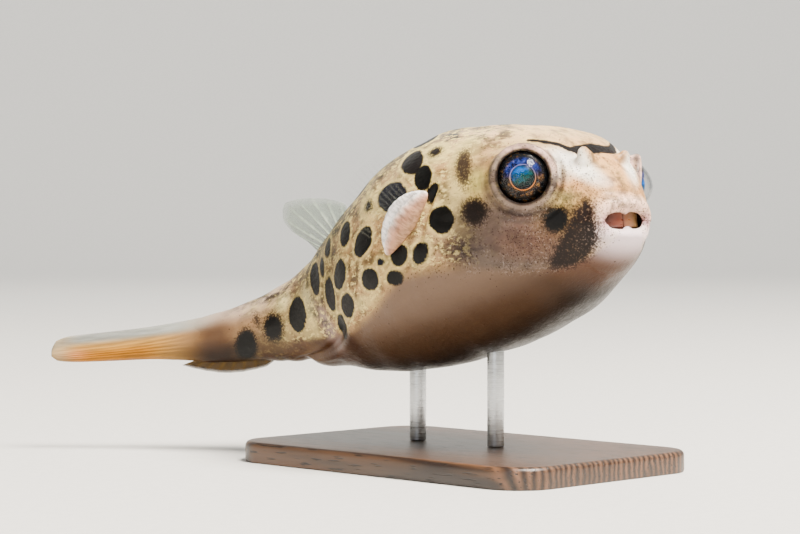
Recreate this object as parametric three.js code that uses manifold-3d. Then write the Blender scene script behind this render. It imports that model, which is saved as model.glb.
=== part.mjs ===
import * as THREE from 'three';
import { RoundedBoxGeometry } from 'three/addons/geometries/RoundedBoxGeometry.js';
import { mergeVertices } from 'three/addons/utils/BufferGeometryUtils.js';
import Module from 'manifold-3d';

// A spotted freshwater pufferfish at life size, held in mid swim on a plain stand.
// Millimetres, +Z up, the fish looks along -Y and curves its tail round to its right.
//
// The fish is measured straight, as a fish is: "back" is the distance behind the tip of the
// snout, "left" is towards its left flank and "high" is above the axis of the body. The
// functions under "Posture" then carry those measures onto the curved axis of the swimmer.

const wasm = await Module();
wasm.setup();

// ---------------------------------------------------------------- driving dimensions

const GAP = 0.3; // between pieces that touch on the real animal
const BODY_LENGTH = 52; // tip of the snout to the root of the tail fin
const TOTAL_LENGTH = 67.8; // to the end of the folded tail fin

// The body's outline at stations along it: the back above the axis, the belly below it, half
// the width, the height where it is widest, and how square the shoulders are (2 is an ellipse).
const BODY = {
	back: [ 0, 0.7, 2, 4, 7, 10, 14, 19, 24, 29, 34, 38, 42, 47, 52 ],
	top: [ 0.8, 2.4, 4.2, 6.2, 8.1, 9.2, 10.3, 11.1, 10.8, 9.2, 7.0, 5.2, 4.0, 2.9, 2.3 ],
	bottom: [ 2.4, 3.5, 4.7, 6.0, 7.5, 8.6, 9.5, 10.0, 10.0, 9.4, 7.9, 5.9, 4.2, 3.0, 2.3 ],
	half: [ 1.6, 2.8, 4.0, 5.5, 7.2, 8.4, 9.3, 9.9, 9.8, 8.8, 6.8, 4.9, 3.4, 2.2, 1.3 ],
	widest: [ - 0.6, - 0.5, - 0.3, 0.3, 0.6, 0.4, 0.2, - 0.2, - 0.5, - 0.6, - 0.4, 0, 0, 0, 0 ],
	square: [ 2, 2, 2.2, 2.5, 2.9, 2.8, 2.5, 2.3, 2.1, 2, 2, 2, 2, 2, 2 ]
};

// Where the body is parted: behind the gill cover and at the end of the belly.
const HEAD_END = 18;
const TRUNK_END = 38;

// Posture: how far each place on the axis is turned to the fish's right, and how far it is
// tilted nose up, in degrees, with one lean of the whole animal towards its left side.
const TURN = {
	back: [ 0, 8, 18, 26, 34, 42, 50, 66 ],
	angle: [ 12, 5, - 1, - 7, - 14, - 23, - 33, - 43 ]
};
const TILT = {
	back: [ 0, 20, 34, 46, 66 ],
	angle: [ 6, 15, 22, 12, 4 ]
};
const LEAN = - 1;
const BALANCE = 22; // the point of the axis that stands over the middle of the stand
const AXIS_HEIGHT = 20; // of that point above the table

const EYE = {
	radius: 2.6,
	back: 7.2,
	out: { right: 5.5, left: 6.6 }, // the left eye is rolled out and down
	high: { right: 4.0, left: 3.2 },
	forward: 43, // degrees that the eye is swung forward from looking straight out
	down: 9, // degrees that it looks down from the level of the head
	opening: 2.3, // radius of the window in the lids
	play: 0.25, // between the eyeball and its socket
	cup: 0.32, // thickness of the skin over the eyeball
	lid: 0.42, // thickness of the fold round the window
	lidSpread: 0.7, // how far the fold stands outside the window, in its own thickness
	fold: 1.3 // distance of the fold in front of the eyeball's centre
};

// The swelling of the head behind an eye: its half width, length and height, and where its
// centre lies from the eye's.
const SWELLING = { width: 3.3, length: 4.8, height: 3.5, inward: 0.2, behind: 2.4, below: 0.4 };

const MOUTH = {
	high: - 1.0,
	halfWidth: 2.05,
	halfHeight: 0.75,
	lip: 0.6, // thickness of the lips
	lipSpread: 0.35, // from the edge of the opening to the middle of the lips
	fullness: 1.05, // of the lips on average
	lowerFullness: 0.25, // how much fuller the lower lip is, and the upper one thinner
	slot: { depth: 4.4, back: 1, corner: 0.5 },
	cavity: { width: 4.8, depth: 3.4, height: 3.0, back: 2.2, corner: 0.6 }
};

// How fast the front of the snout falls back from its middle, sideways and up and down.
const SNOUT_FALL = { across: 0.13, upright: 0.1 };

const TEETH = {
	outer: 3.6, // radius that the band of the beak is bent to
	thickness: 0.6,
	spread: 38, // degrees that it runs to each side
	nick: 0.05, // half width of the nick between its two halves, in radians
	nickDepth: 0.16,
	back: 0.75, // its middle behind the tip of the snout
	upper: { bite: - 0.6, root: 1.2 }, // heights from the middle of the mouth
	lower: { bite: - 0.9, root: - 1.2 }
};

// The nostril's flap: a peg on a broad foot, flattened and leaning out and back.
const NOSTRIL = {
	back: 2.7,
	out: 2.1,
	radius: 0.5,
	foot: { radius: 0.75, depth: 1 },
	waist: { radius: 0.55, high: 0.45 },
	shoulder: 0.93, // height where the rounded tip begins
	flatness: 0.75,
	leanOut: 0.55, // radians
	leanBack: 0.35
};

const TAIL_FIN = {
	back: [ 52.4, 55, 58, 62, 65.5, 67.2, TOTAL_LENGTH ],
	top: [ 2.25, 2.15, 2.05, 2.0, 1.9, 1.5, 0.7 ],
	bottom: [ 2.1, 1.6, 1.15, 0.9, 0.72, 0.5, 0.05 ],
	half: [ 1.15, 0.85, 0.65, 0.5, 0.42, 0.34, 0.26 ]
};

// Outlines of the two upright fins, as [ back, high ] round the edge from the front of the base.
const DORSAL_FIN = [
	[ 32.6, 8.6 ], [ 33.6, 9.8 ], [ 36.2, 11.1 ], [ 39.2, 11.7 ],
	[ 40.6, 10.4 ], [ 40.0, 8.8 ], [ 38.5, 7.0 ], [ 37.4, 4.6 ], [ 33, 6.4 ]
];
const ANAL_FIN = [
	[ 44.8, - 3.6 ], [ 47.4, - 3.95 ], [ 50.0, - 3.85 ], [ 53.2, - 3.2 ],
	[ 55.0, - 2.6 ], [ 53.6, - 2.45 ], [ 51.0, - 2.1 ], [ 46.0, - 2.1 ]
];
const FIN_THICKNESS = 0.7;

// The paired fins: a fleshy root on the flank and the fan of rays that it carries.
const PECTORAL = {
	back: 19.2,
	high: 2.6,
	rootLength: 7.8, // along the slanting root
	rootWidth: 2.9,
	rootDepth: 1.1,
	fanOut: 0.5, // how far the fan stands outside the middle of the root
	slant: 56, // degrees that the lower end of the root lies behind the upper end
	fan: 6.2, // length of the rays beyond the root
	splay: { right: 16, left: 42 } // degrees that the fan stands off the flank
};

// The ends of the fan at its root, its shoulders and its corners: how far out each lies, as
// a share of the fan's length, and how far along, as a share of the root's length.
const FAN = {
	root: 0.36,
	front: [ [ 0.3, - 0.5 ], [ 0.72, - 0.46 ], [ 0.98, - 0.38 ], [ 1, 0 ] ],
	rear: [ [ 1.02, 0.46 ], [ 0.78, 0.5 ], [ 0.4, 0.52 ] ]
};

const STAND = {
	length: 38,
	width: 25,
	thickness: 2,
	corner: 4,
	rodRadius: 0.8,
	rodDepth: 2.2, // how deep a rod goes into the body
	rodHole: 0.2, // how much wider its hole is, all round
	rodSeat: 0.05, // between the foot of a rod and the base
	rods: { front: 20.3, rear: 31 } // where on the body's axis each rod enters
};

// ---------------------------------------------------------------- materials

function paint( color, roughness, metalness = 0 ) {

	return new THREE.MeshStandardMaterial( { color, roughness, metalness } );

}

const SKIN = paint( 0xd8c89c, 0.45 );
const TAIL_SKIN = paint( 0xb08a5c, 0.45 );
const FIN = paint( 0xc9c7b4, 0.4 );
const TAIL_FIN_SKIN = paint( 0xb8802f, 0.4 );
const IRIS = paint( 0x16628c, 0.1 );
const TOOTH = paint( 0x84553d, 0.35 );
const WOOD = paint( 0x3a2a20, 0.5 );
const STEEL = paint( 0xb9bcc0, 0.35, 1 );

// ---------------------------------------------------------------- solids

function toSolid( geometry ) {

	const plain = geometry.clone();
	plain.deleteAttribute( 'normal' );
	plain.deleteAttribute( 'uv' );
	const welded = mergeVertices( plain, 1e-4 );
	return new wasm.Manifold( new wasm.Mesh( {
		numProp: 3,
		vertProperties: welded.attributes.position.array,
		triVerts: new Uint32Array( welded.index.array )
	} ) );

}

function toMesh( name, solid, material ) {

	const { vertProperties, triVerts } = solid.getMesh();
	const geometry = new THREE.BufferGeometry();
	geometry.setAttribute( 'position', new THREE.BufferAttribute( vertProperties, 3 ) );
	geometry.setIndex( new THREE.BufferAttribute( triVerts, 1 ) );
	geometry.computeVertexNormals();
	const mesh = new THREE.Mesh( geometry, material );
	mesh.name = name;
	return mesh;

}

// Moves every point of a geometry by a function of that point.
function reshape( geometry, move ) {

	const position = geometry.attributes.position;
	const point = new THREE.Vector3();
	for ( let i = 0; i < position.count; i ++ ) {

		point.fromBufferAttribute( position, i );
		move( point );
		position.setXYZ( i, point.x, point.y, point.z );

	}

	return geometry;

}

// ---------------------------------------------------------------- posture

// A smooth curve through stations that never swings past them (Fritsch and Carlson's rule).
function between( stations, values, at ) {

	const last = stations.length - 2;
	let i = 0;
	while ( i < last && at > stations[ i + 1 ] ) i ++;
	const rise = ( k ) => ( values[ k + 1 ] - values[ k ] ) / ( stations[ k + 1 ] - stations[ k ] );
	const slope = ( k ) => {

		if ( k === 0 ) return rise( 0 );
		if ( k > last ) return rise( last );
		const before = rise( k - 1 );
		const after = rise( k );
		return before * after > 0 ? 2 * before * after / ( before + after ) : 0;

	};

	const run = stations[ i + 1 ] - stations[ i ];
	const t = Math.min( Math.max( ( at - stations[ i ] ) / run, 0 ), 1 );
	const t2 = t * t;
	const t3 = t2 * t;
	return ( 2 * t3 - 3 * t2 + 1 ) * values[ i ] + ( t3 - 2 * t2 + t ) * run * slope( i )
		+ ( 3 * t2 - 2 * t3 ) * values[ i + 1 ] + ( t3 - t2 ) * run * slope( i + 1 );

}

// The directions of the swimmer's own axes at a place on its spine.
function directions( back ) {

	const turn = THREE.MathUtils.degToRad( between( TURN.back, TURN.angle, back ) );
	const tilt = THREE.MathUtils.degToRad( between( TILT.back, TILT.angle, back ) );
	const forward = new THREE.Vector3(
		- Math.sin( turn ) * Math.cos( tilt ),
		- Math.cos( turn ) * Math.cos( tilt ),
		Math.sin( tilt )
	);
	const left = new THREE.Vector3( Math.cos( turn ), - Math.sin( turn ), 0 );
	left.applyAxisAngle( forward, - THREE.MathUtils.degToRad( LEAN ) );
	const up = new THREE.Vector3().crossVectors( forward, left );
	return { forward, left, up };

}

// The curved axis itself, stepped from the snout to beyond the tail.
const STEP = 0.25;
const SPINE = [ new THREE.Vector3() ];
for ( let back = STEP; back < TOTAL_LENGTH + 4; back += STEP ) {

	const { forward } = directions( back - STEP / 2 );
	SPINE.push( SPINE.at( - 1 ).clone().addScaledVector( forward, - STEP ) );

}

function onSpine( back ) {

	const place = Math.max( back, 0 ) / STEP;
	const i = Math.min( Math.floor( place ), SPINE.length - 2 );
	const point = SPINE[ i ].clone().lerp( SPINE[ i + 1 ], place - i );
	return point.addScaledVector( directions( 0 ).forward, Math.max( - back, 0 ) );

}

const START = onSpine( BALANCE );

// From ( left, back, high ) on the straight fish to the posed one.
function posed( left, back, high ) {

	const axes = directions( Math.max( back, 0 ) );
	return onSpine( back ).sub( START )
		.addScaledVector( axes.left, left )
		.addScaledVector( axes.up, high )
		.add( new THREE.Vector3( 0, 0, AXIS_HEIGHT ) );

}

function pose( geometry ) {

	return reshape( geometry, ( p ) => p.copy( posed( p.x, p.y, p.z ) ) );

}

// A rigid frame on the fish: x to its left, y to its tail and z to its back.
function frameAt( left, back, high ) {

	const { forward, left: side, up } = directions( back );
	const matrix = new THREE.Matrix4().makeBasis( side, forward.clone().negate(), up );
	return matrix.setPosition( posed( left, back, high ) );

}

// ---------------------------------------------------------------- lofted bodies

const CROWDING = 0.4; // how far the rings crowd to the front, from 0 for evenly to 1
const ELLIPSE = 2;
const BELLY_SQUARE = 2.08; // the belly's section is a very little fuller than an ellipse

// A closed skin over a table of stations. Its sections are ellipses with squared shoulders,
// and its rings crowd towards the front, where the shape changes fastest. Swell grows it.
function loft( table, around, along, swell = 0 ) {

	const first = table.back[ 0 ];
	const length = table.back.at( - 1 ) - first;
	const tube = new THREE.CylinderGeometry( 1, 1, 1, around, along );
	return reshape( tube, ( p ) => {

		const fill = Math.hypot( p.x, p.z );
		const x = fill > 0 ? - p.x / fill : 0;
		const z = fill > 0 ? p.z / fill : 0;
		const u = 0.5 - p.y;
		const back = first + length * u * ( CROWDING * u + 1 - CROWDING );
		const widest = table.widest ? between( table.back, table.widest, back ) : 0;
		const square = table.square ? between( table.back, table.square, back ) : ELLIPSE;
		const power = ELLIPSE / ( z > 0 ? square : BELLY_SQUARE );
		const reach = z > 0
			? between( table.back, table.top, back ) - widest + swell
			: between( table.back, table.bottom, back ) + widest + swell;
		const half = between( table.back, table.half, back ) + swell;
		const left = half * Math.sign( x ) * Math.abs( x ) ** power;
		const high = widest + reach * Math.sign( z ) * Math.abs( z ) ** power * fill;
		p.set( left * fill, back, high );

	} );

}

const flesh = toSolid( pose( loft( BODY, 36, 38 ) ) );
const clearance = toSolid( pose( loft( BODY, 36, 38, GAP ) ) );

// ---------------------------------------------------------------- eyes

const SIDES = { right: - 1, left: 1 };
const nameOf = ( side ) => ( side > 0 ? 'left' : 'right' );

function eyeAxis( side ) {

	const forward = THREE.MathUtils.degToRad( EYE.forward );
	const down = THREE.MathUtils.degToRad( EYE.down );
	return new THREE.Vector3(
		side * Math.cos( forward ) * Math.cos( down ),
		- Math.sin( forward ) * Math.cos( down ),
		- Math.sin( down )
	);

}

// Stands a shape that was made along +Z out of the eye, offset along its line of sight.
function onEye( geometry, side, offset ) {

	const axis = eyeAxis( side );
	const turned = new THREE.Quaternion().setFromUnitVectors( new THREE.Vector3( 0, 0, 1 ), axis );
	geometry.translate( 0, 0, offset );
	geometry.applyQuaternion( turned );
	const name = nameOf( side );
	return geometry.applyMatrix4( frameAt( side * EYE.out[ name ], EYE.back, EYE.high[ name ] ) );

}

function ball( radius, side, around = 20 ) {

	return toSolid( onEye( new THREE.SphereGeometry( radius, around, around * 0.6 ), side, 0 ) );

}

// The skin over the orbit: a cup round the eyeball, the fold that rims it, and the swelling
// of the head behind, which carries the bulge of the eye back into the cheek and the crown.
function orbit( side ) {

	const { width, length, height, inward, behind, below } = SWELLING;
	const fold = new THREE.TorusGeometry( EYE.opening + EYE.lid * EYE.lidSpread, EYE.lid, 8, 26 );
	const swelling = new THREE.SphereGeometry( 1, 20, 14 ).scale( width, length, height );
	const high = EYE.high[ nameOf( side ) ] - below;
	swelling.applyMatrix4( frameAt( side * ( EYE.out.right - inward ), EYE.back + behind, high ) );
	return ball( EYE.radius + EYE.cup, side )
		.add( toSolid( onEye( fold, side, EYE.fold ) ) )
		.add( toSolid( swelling ) );

}

function socket( side ) {

	const depth = EYE.radius * 2;
	const window = new THREE.CylinderGeometry( EYE.opening, EYE.opening, depth, 26 );
	window.rotateX( Math.PI / 2 );
	return ball( EYE.radius + EYE.play, side, 16 ).add( toSolid( onEye( window, side, depth / 2 ) ) );

}

// ---------------------------------------------------------------- mouth and nostrils

// How far the front of the snout falls back, away from its midline.
function snoutFall( left, high ) {

	return SNOUT_FALL.across * left ** 2 + SNOUT_FALL.upright * ( high - MOUTH.high ) ** 2;

}

// The two lips, one closed fold round the mouth. The lower lip is the thicker.
function lips() {

	const { halfWidth, halfHeight, lip, lipSpread } = MOUTH;
	const ring = new THREE.TorusGeometry( 1, lip, 10, 30 );
	return pose( reshape( ring, ( p ) => {

		const angle = Math.atan2( p.y, p.x );
		const out = Math.hypot( p.x, p.y ) - 1;
		const fullness = MOUTH.fullness - MOUTH.lowerFullness * Math.sin( angle );
		const left = ( halfWidth + lipSpread + out * fullness ) * Math.cos( angle );
		const high = MOUTH.high + ( halfHeight + lipSpread + out * fullness ) * Math.sin( angle );
		p.set( left, lipSpread - p.z * fullness + snoutFall( left, high ), high );

	} ) );

}

function mouthOpening() {

	const { halfWidth, halfHeight, high, slot, cavity } = MOUTH;
	const way = new RoundedBoxGeometry( 2 * halfWidth, slot.depth, 2 * halfHeight, 2, slot.corner );
	way.translate( 0, slot.back, high );
	const room = new RoundedBoxGeometry( cavity.width, cavity.depth, cavity.height, 2, cavity.corner );
	room.translate( 0, cavity.back, high );
	return toSolid( pose( way ) ).add( toSolid( pose( room ) ) );

}

// One fused plate of the beak: a band bent round the front of the jaw, with a nick in the
// middle where its two halves meet.
function toothPlate( { bite, root } ) {

	const { outer, thickness, nick, nickDepth } = TEETH;
	const spread = THREE.MathUtils.degToRad( TEETH.spread );
	const middle = Math.PI / 2;
	const band = new THREE.Shape();
	band.absarc( 0, 0, outer, middle - spread, middle - nick );
	band.lineTo( 0, outer - nickDepth );
	band.absarc( 0, 0, outer, middle + nick, middle + spread );
	band.absarc( 0, 0, outer - thickness, middle + spread, middle - spread, true );
	const plate = new THREE.ExtrudeGeometry( band, {
		depth: Math.abs( root - bite ), bevelEnabled: false, curveSegments: 7
	} );
	const low = MOUTH.high + Math.min( root, bite );
	return toSolid( pose( reshape( plate, ( p ) => p.set( - p.x, outer + TEETH.back - p.y, low + p.z ) ) ) );

}

// The soft flap that carries a nostril, a rounded peg on the slope of the snout.
function nostril( side ) {

	const { radius, foot, waist, shoulder } = NOSTRIL;
	const profile = new THREE.Path();
	profile.moveTo( 0, - foot.depth );
	profile.lineTo( foot.radius, - foot.depth );
	profile.quadraticCurveTo( waist.radius, waist.high, radius, shoulder );
	profile.absarc( 0, shoulder, radius, 0, Math.PI / 2 );
	const peg = new THREE.LatheGeometry( profile.getPoints( 5 ), 14 ).rotateX( Math.PI / 2 );
	peg.scale( 1, NOSTRIL.flatness, 1 );
	peg.rotateY( side * NOSTRIL.leanOut );
	peg.rotateX( NOSTRIL.leanBack );
	const high = heightAt( NOSTRIL.back, NOSTRIL.out );
	return toSolid( peg.applyMatrix4( frameAt( side * NOSTRIL.out, NOSTRIL.back, high ) ) );

}

// Height of the back over a place beside the midline.
function heightAt( back, out ) {

	const widest = between( BODY.back, BODY.widest, back );
	const square = between( BODY.back, BODY.square, back );
	const rise = between( BODY.back, BODY.top, back ) - widest;
	const part = Math.min( Math.abs( out ) / between( BODY.back, BODY.half, back ), 1 );
	return widest + rise * ( 1 - part ** square ) ** ( 1 / square );

}

// ---------------------------------------------------------------- fins

// An upright fin on the midline, from its outline seen from the side.
function midlineFin( outline ) {

	const edge = new THREE.CatmullRomCurve3(
		outline.map( ( [ back, high ] ) => new THREE.Vector3( back, high, 0 ) ), true, 'centripetal'
	);
	const shape = new THREE.Shape( edge.getPoints( 40 ).slice( 0, - 1 )
		.map( ( p ) => new THREE.Vector2( p.x, p.y ) ) );
	const sheet = new THREE.ExtrudeGeometry( shape, { depth: FIN_THICKNESS, bevelEnabled: false } );
	return toSolid( pose( reshape( sheet, ( p ) => p.set( p.z - FIN_THICKNESS / 2, p.x, p.y ) ) ) );

}

// A paired fin: its fleshy root is a flattened ellipsoid, and its fan a sheet that widens
// and thins towards the ends of the rays.
function pectoral( side, splay ) {

	const { rootLength, rootWidth, rootDepth, fan, fanOut } = PECTORAL;
	const root = new THREE.SphereGeometry( 1, 14, 10 ).scale( rootDepth, rootWidth / 2, rootLength / 2 );
	const sized = ( [ out, along ] ) => [ out * fan, along * rootLength ];
	const [ hollow, corner, shoulder, end ] = FAN.front.map( sized );
	const [ rearShoulder, rearCorner, rearHollow ] = FAN.rear.map( sized );
	const blade = new THREE.Shape();
	blade.moveTo( 0, - rootLength * FAN.root );
	blade.quadraticCurveTo( ...hollow, ...corner );
	blade.quadraticCurveTo( ...shoulder, ...end );
	blade.quadraticCurveTo( ...rearShoulder, ...rearCorner );
	blade.quadraticCurveTo( ...rearHollow, 0, rootLength * FAN.root );
	const sheet = new THREE.ExtrudeGeometry( blade, {
		depth: FIN_THICKNESS, bevelEnabled: false, curveSegments: 5
	} );
	reshape( sheet, ( p ) => p.set( p.z - FIN_THICKNESS / 2, p.x, p.y ) );
	sheet.rotateZ( - side * THREE.MathUtils.degToRad( splay ) );
	sheet.translate( side * fanOut, 0, 0 );
	const out = between( BODY.back, BODY.half, PECTORAL.back ) + GAP;
	const place = frameAt( side * out, PECTORAL.back, PECTORAL.high );
	const lie = new THREE.Matrix4().makeRotationX( THREE.MathUtils.degToRad( PECTORAL.slant ) );
	place.multiply( lie );
	return toSolid( root ).add( toSolid( sheet ) ).transform( place.elements ).subtract( clearance );

}

// ---------------------------------------------------------------- stand

function standBase() {

	const { length, width, thickness, corner } = STAND;
	const w = width / 2 - corner;
	const l = length / 2 - corner;
	const plan = new THREE.Shape();
	plan.absarc( w, l, corner, 0, Math.PI / 2 );
	plan.absarc( - w, l, corner, Math.PI / 2, Math.PI );
	plan.absarc( - w, - l, corner, Math.PI, 1.5 * Math.PI );
	plan.absarc( w, - l, corner, 1.5 * Math.PI, 2 * Math.PI );
	const slab = new THREE.ExtrudeGeometry( plan, {
		depth: thickness, bevelEnabled: false, curveSegments: 8
	} );
	return toSolid( slab );

}

function rod( back, radius, bottom ) {

	const belly = - between( BODY.back, BODY.bottom, back );
	const entry = posed( 0, back, belly );
	const top = entry.z + STAND.rodDepth + radius - STAND.rodRadius;
	const bar = new THREE.CylinderGeometry( radius, radius, top - bottom, 20 ).rotateX( Math.PI / 2 );
	bar.translate( entry.x, entry.y, ( top + bottom ) / 2 );
	return toSolid( bar );

}

// ---------------------------------------------------------------- the model

const group = new THREE.Group();

// The whole fish first, in one body with its folds of skin, openings and rod holes.
let fish = flesh.add( toSolid( lips() ) );
for ( const side of Object.values( SIDES ) ) {

	fish = fish.add( orbit( side ) ).add( nostril( side ) );

}

for ( const side of Object.values( SIDES ) ) {

	fish = fish.subtract( socket( side ) );

}

fish = fish.subtract( mouthOpening() );
for ( const back of Object.values( STAND.rods ) ) {

	fish = fish.subtract( rod( back, STAND.rodRadius + STAND.rodHole, STAND.thickness ) );

}

// Then its fins, each kept off the flesh by a hair's breadth.
const tailFin = toSolid( pose( loft( TAIL_FIN, 20, 14 ) ) );
const finsOnMidline = {
	dorsal_fin: midlineFin( DORSAL_FIN ).subtract( clearance ),
	anal_fin: midlineFin( ANAL_FIN ).subtract( clearance )
};

const BEYOND = 3; // how far the first and the last slab reach past the fish
const SLAB_SIZE = 40; // wide and high enough to hold any section of it

// Three parts, with thin cuts across the axis.
function slab( from, to ) {

	const block = new THREE.BoxGeometry( SLAB_SIZE, to - from, SLAB_SIZE, 1, 4, 1 );
	return toSolid( pose( block.translate( 0, ( from + to ) / 2, 0 ) ) );

}

const parts = [
	[ 'head', - BEYOND, HEAD_END - GAP / 2, SKIN ],
	[ 'trunk', HEAD_END + GAP / 2, TRUNK_END - GAP / 2, SKIN ],
	[ 'tail', TRUNK_END + GAP / 2, BODY_LENGTH + BEYOND, TAIL_SKIN ]
];
for ( const [ name, from, to, material ] of parts ) {

	group.add( toMesh( name, fish.intersect( slab( from, to ) ), material ) );

}

group.add( toMesh( 'caudal_fin', tailFin, TAIL_FIN_SKIN ) );
for ( const [ name, fin ] of Object.entries( finsOnMidline ) ) {

	group.add( toMesh( name, fin, FIN ) );

}

for ( const [ name, side ] of Object.entries( SIDES ) ) {

	group.add( toMesh( `pectoral_fin_${ name }`, pectoral( side, PECTORAL.splay[ name ] ), FIN ) );
	group.add( toMesh( `eye_${ name }`, ball( EYE.radius, side ), IRIS ) );

}

group.add( toMesh( 'upper_teeth', toothPlate( TEETH.upper ), TOOTH ) );
group.add( toMesh( 'lower_teeth', toothPlate( TEETH.lower ), TOOTH ) );

group.add( toMesh( 'stand_base', standBase(), WOOD ) );
for ( const [ name, back ] of Object.entries( STAND.rods ) ) {

	const bar = rod( back, STAND.rodRadius, STAND.thickness + STAND.rodSeat );
	group.add( toMesh( `stand_rod_${ name }`, bar, STEEL ) );

}

export default group;
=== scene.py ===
import math

import bpy
import numpy as np
from mathutils import Matrix, Vector


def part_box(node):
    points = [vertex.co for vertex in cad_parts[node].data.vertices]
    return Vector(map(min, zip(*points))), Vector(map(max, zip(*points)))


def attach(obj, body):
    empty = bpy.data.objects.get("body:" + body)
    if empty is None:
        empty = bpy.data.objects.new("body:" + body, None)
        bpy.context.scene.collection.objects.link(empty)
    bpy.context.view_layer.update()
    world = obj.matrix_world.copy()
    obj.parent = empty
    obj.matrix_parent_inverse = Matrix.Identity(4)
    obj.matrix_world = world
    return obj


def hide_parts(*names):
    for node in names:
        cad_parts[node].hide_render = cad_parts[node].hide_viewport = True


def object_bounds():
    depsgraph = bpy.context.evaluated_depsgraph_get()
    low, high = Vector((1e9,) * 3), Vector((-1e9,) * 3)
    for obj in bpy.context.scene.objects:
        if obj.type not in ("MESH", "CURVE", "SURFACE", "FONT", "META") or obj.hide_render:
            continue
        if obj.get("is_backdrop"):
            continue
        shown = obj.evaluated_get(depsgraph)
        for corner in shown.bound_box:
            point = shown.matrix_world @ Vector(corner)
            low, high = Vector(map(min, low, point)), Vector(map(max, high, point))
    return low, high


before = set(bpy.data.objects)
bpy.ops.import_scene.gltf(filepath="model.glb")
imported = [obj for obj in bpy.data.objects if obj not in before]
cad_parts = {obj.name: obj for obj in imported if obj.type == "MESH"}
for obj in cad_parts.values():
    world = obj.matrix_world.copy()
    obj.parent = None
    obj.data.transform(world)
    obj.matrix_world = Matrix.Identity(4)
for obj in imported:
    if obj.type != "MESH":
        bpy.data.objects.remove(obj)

CAD_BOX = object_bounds()

bl_info = {
    "name": "Spotted Pufferfish Model",
    "version": (1, 0, 0),
    "blender": (4, 5, 0),
    "location": "View3D > Sidebar > Pufferfish",
    "description": "Builds a life-size spotted freshwater pufferfish on a display stand",
    "category": "Add Mesh",
}

MM = 0.001  # metres in a millimetre: pieces are shaped in millimetres and settled in metres

# ------------------------------------------------------------------ measures of the fish
# The fish is measured straight: "back" is the distance behind the tip of the snout, "left" is
# towards its left flank and "high" is above the axis of the body, all in millimetres.

RIGHT, LEFT = -1, 1
SIDE_NAMES = {RIGHT: "right", LEFT: "left"}

BODY_LENGTH = 52
TOTAL_LENGTH = 67.8
# sections of the body: how far it reaches above, below and beside its axis, how high its
# widest line lies, and how square its shoulders are, where 2 is an ellipse
BODY = {
    "back": [0, 0.7, 2, 4, 7, 10, 14, 19, 24, 29, 34, 38, 42, 47, BODY_LENGTH],
    "top": [0.8, 2.4, 4.2, 6.2, 8.1, 9.2, 10.3, 11.1, 10.8, 9.2, 7.0, 5.2, 4.0, 2.9, 2.3],
    "bottom": [2.4, 3.5, 4.7, 6.0, 7.5, 8.6, 9.5, 10.0, 10.0, 9.4, 7.9, 5.9, 4.2, 3.0, 2.3],
    "half": [1.6, 2.8, 4.0, 5.5, 7.2, 8.4, 9.3, 9.9, 9.8, 8.8, 6.8, 4.9, 3.4, 2.2, 1.3],
    "widest": [-0.6, -0.5, -0.3, 0.3, 0.6, 0.4, 0.2, -0.2, -0.5, -0.6, -0.4, 0, 0, 0, 0],
    "square": [2, 2, 2.2, 2.5, 2.9, 2.8, 2.5, 2.3, 2.1, 2, 2, 2, 2, 2, 2],
}
SKIN_END = {"back": 54.5, "top": 1.7, "bottom": 1.5, "half": 0.7, "widest": 0, "square": 2}
BELLY_SQUARE = 2.08
# places along the back, and the degrees that the spine is turned and tilted up there
TURN = ([0, 8, 18, 26, 34, 42, 50, 66], [12, 5, -1, -7, -14, -23, -33, -43])
TILT = ([0, 20, 34, 46, 66], [6, 15, 22, 12, 4])
LEAN = -1  # degrees that the whole fish is rolled
BALANCE = 22  # the place along the back that is over the origin
AXIS_HEIGHT = 20  # of that place over the table

EYE_RADIUS = 2.6
EYE_BACK = 7.2
EYE_OUT = {RIGHT: 5.5, LEFT: 6.45}
EYE_HIGH = {RIGHT: 4.0, LEFT: 3.1}
EYE_FORWARD = 43  # degrees that each socket faces forward
EYE_DOWN = 9
GAZE = {RIGHT: (42, 10), LEFT: (50, 20)}  # each eye turns in its socket: degrees forward and down
LID_OPENING = 2.3
LID = 0.42  # half the thickness of the fold round the eye
LID_FOLD = 1.3  # of that fold in front of the middle of the eye

MOUTH_HIGH = -1.0
MOUTH_HALF_WIDTH = 2.05
MOUTH_HALF_HEIGHT = 0.75
LIP = 0.6  # half the thickness of a lip

TAIL_FIN = {
    "back": [49.0, 50.5, 52, 53, 55, 58, 62, 65.5, 67.2, TOTAL_LENGTH],
    "top": [1.8, 2.2, 2.28, 2.24, 2.15, 2.05, 2.0, 1.9, 1.5, 0.7],
    "bottom": [1.8, 2.2, 2.2, 2.0, 1.6, 1.15, 0.9, 0.72, 0.5, 0.05],
    "half": [0.7, 1.1, 1.22, 1.12, 0.85, 0.65, 0.5, 0.42, 0.34, 0.26],
}

PECTORAL_BACK = 19.0
PECTORAL_HIGH = 2.6
PECTORAL_SLANT = 56  # degrees that the upper end of the root leans towards the head
PECTORAL_SPLAY = {RIGHT: 16, LEFT: 42}  # degrees that each fan stands off the flank


def smooth(low, high, value):
    """0 below low, 1 above high and an easy rise between."""
    t = np.clip((value - low) / (high - low), 0, 1)
    return t * t * (3 - 2 * t)


def hump(away, width):
    """1 where a distance is 0, falling away on both sides of it over a width."""
    return np.exp(-((away / width) ** 2))


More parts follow.
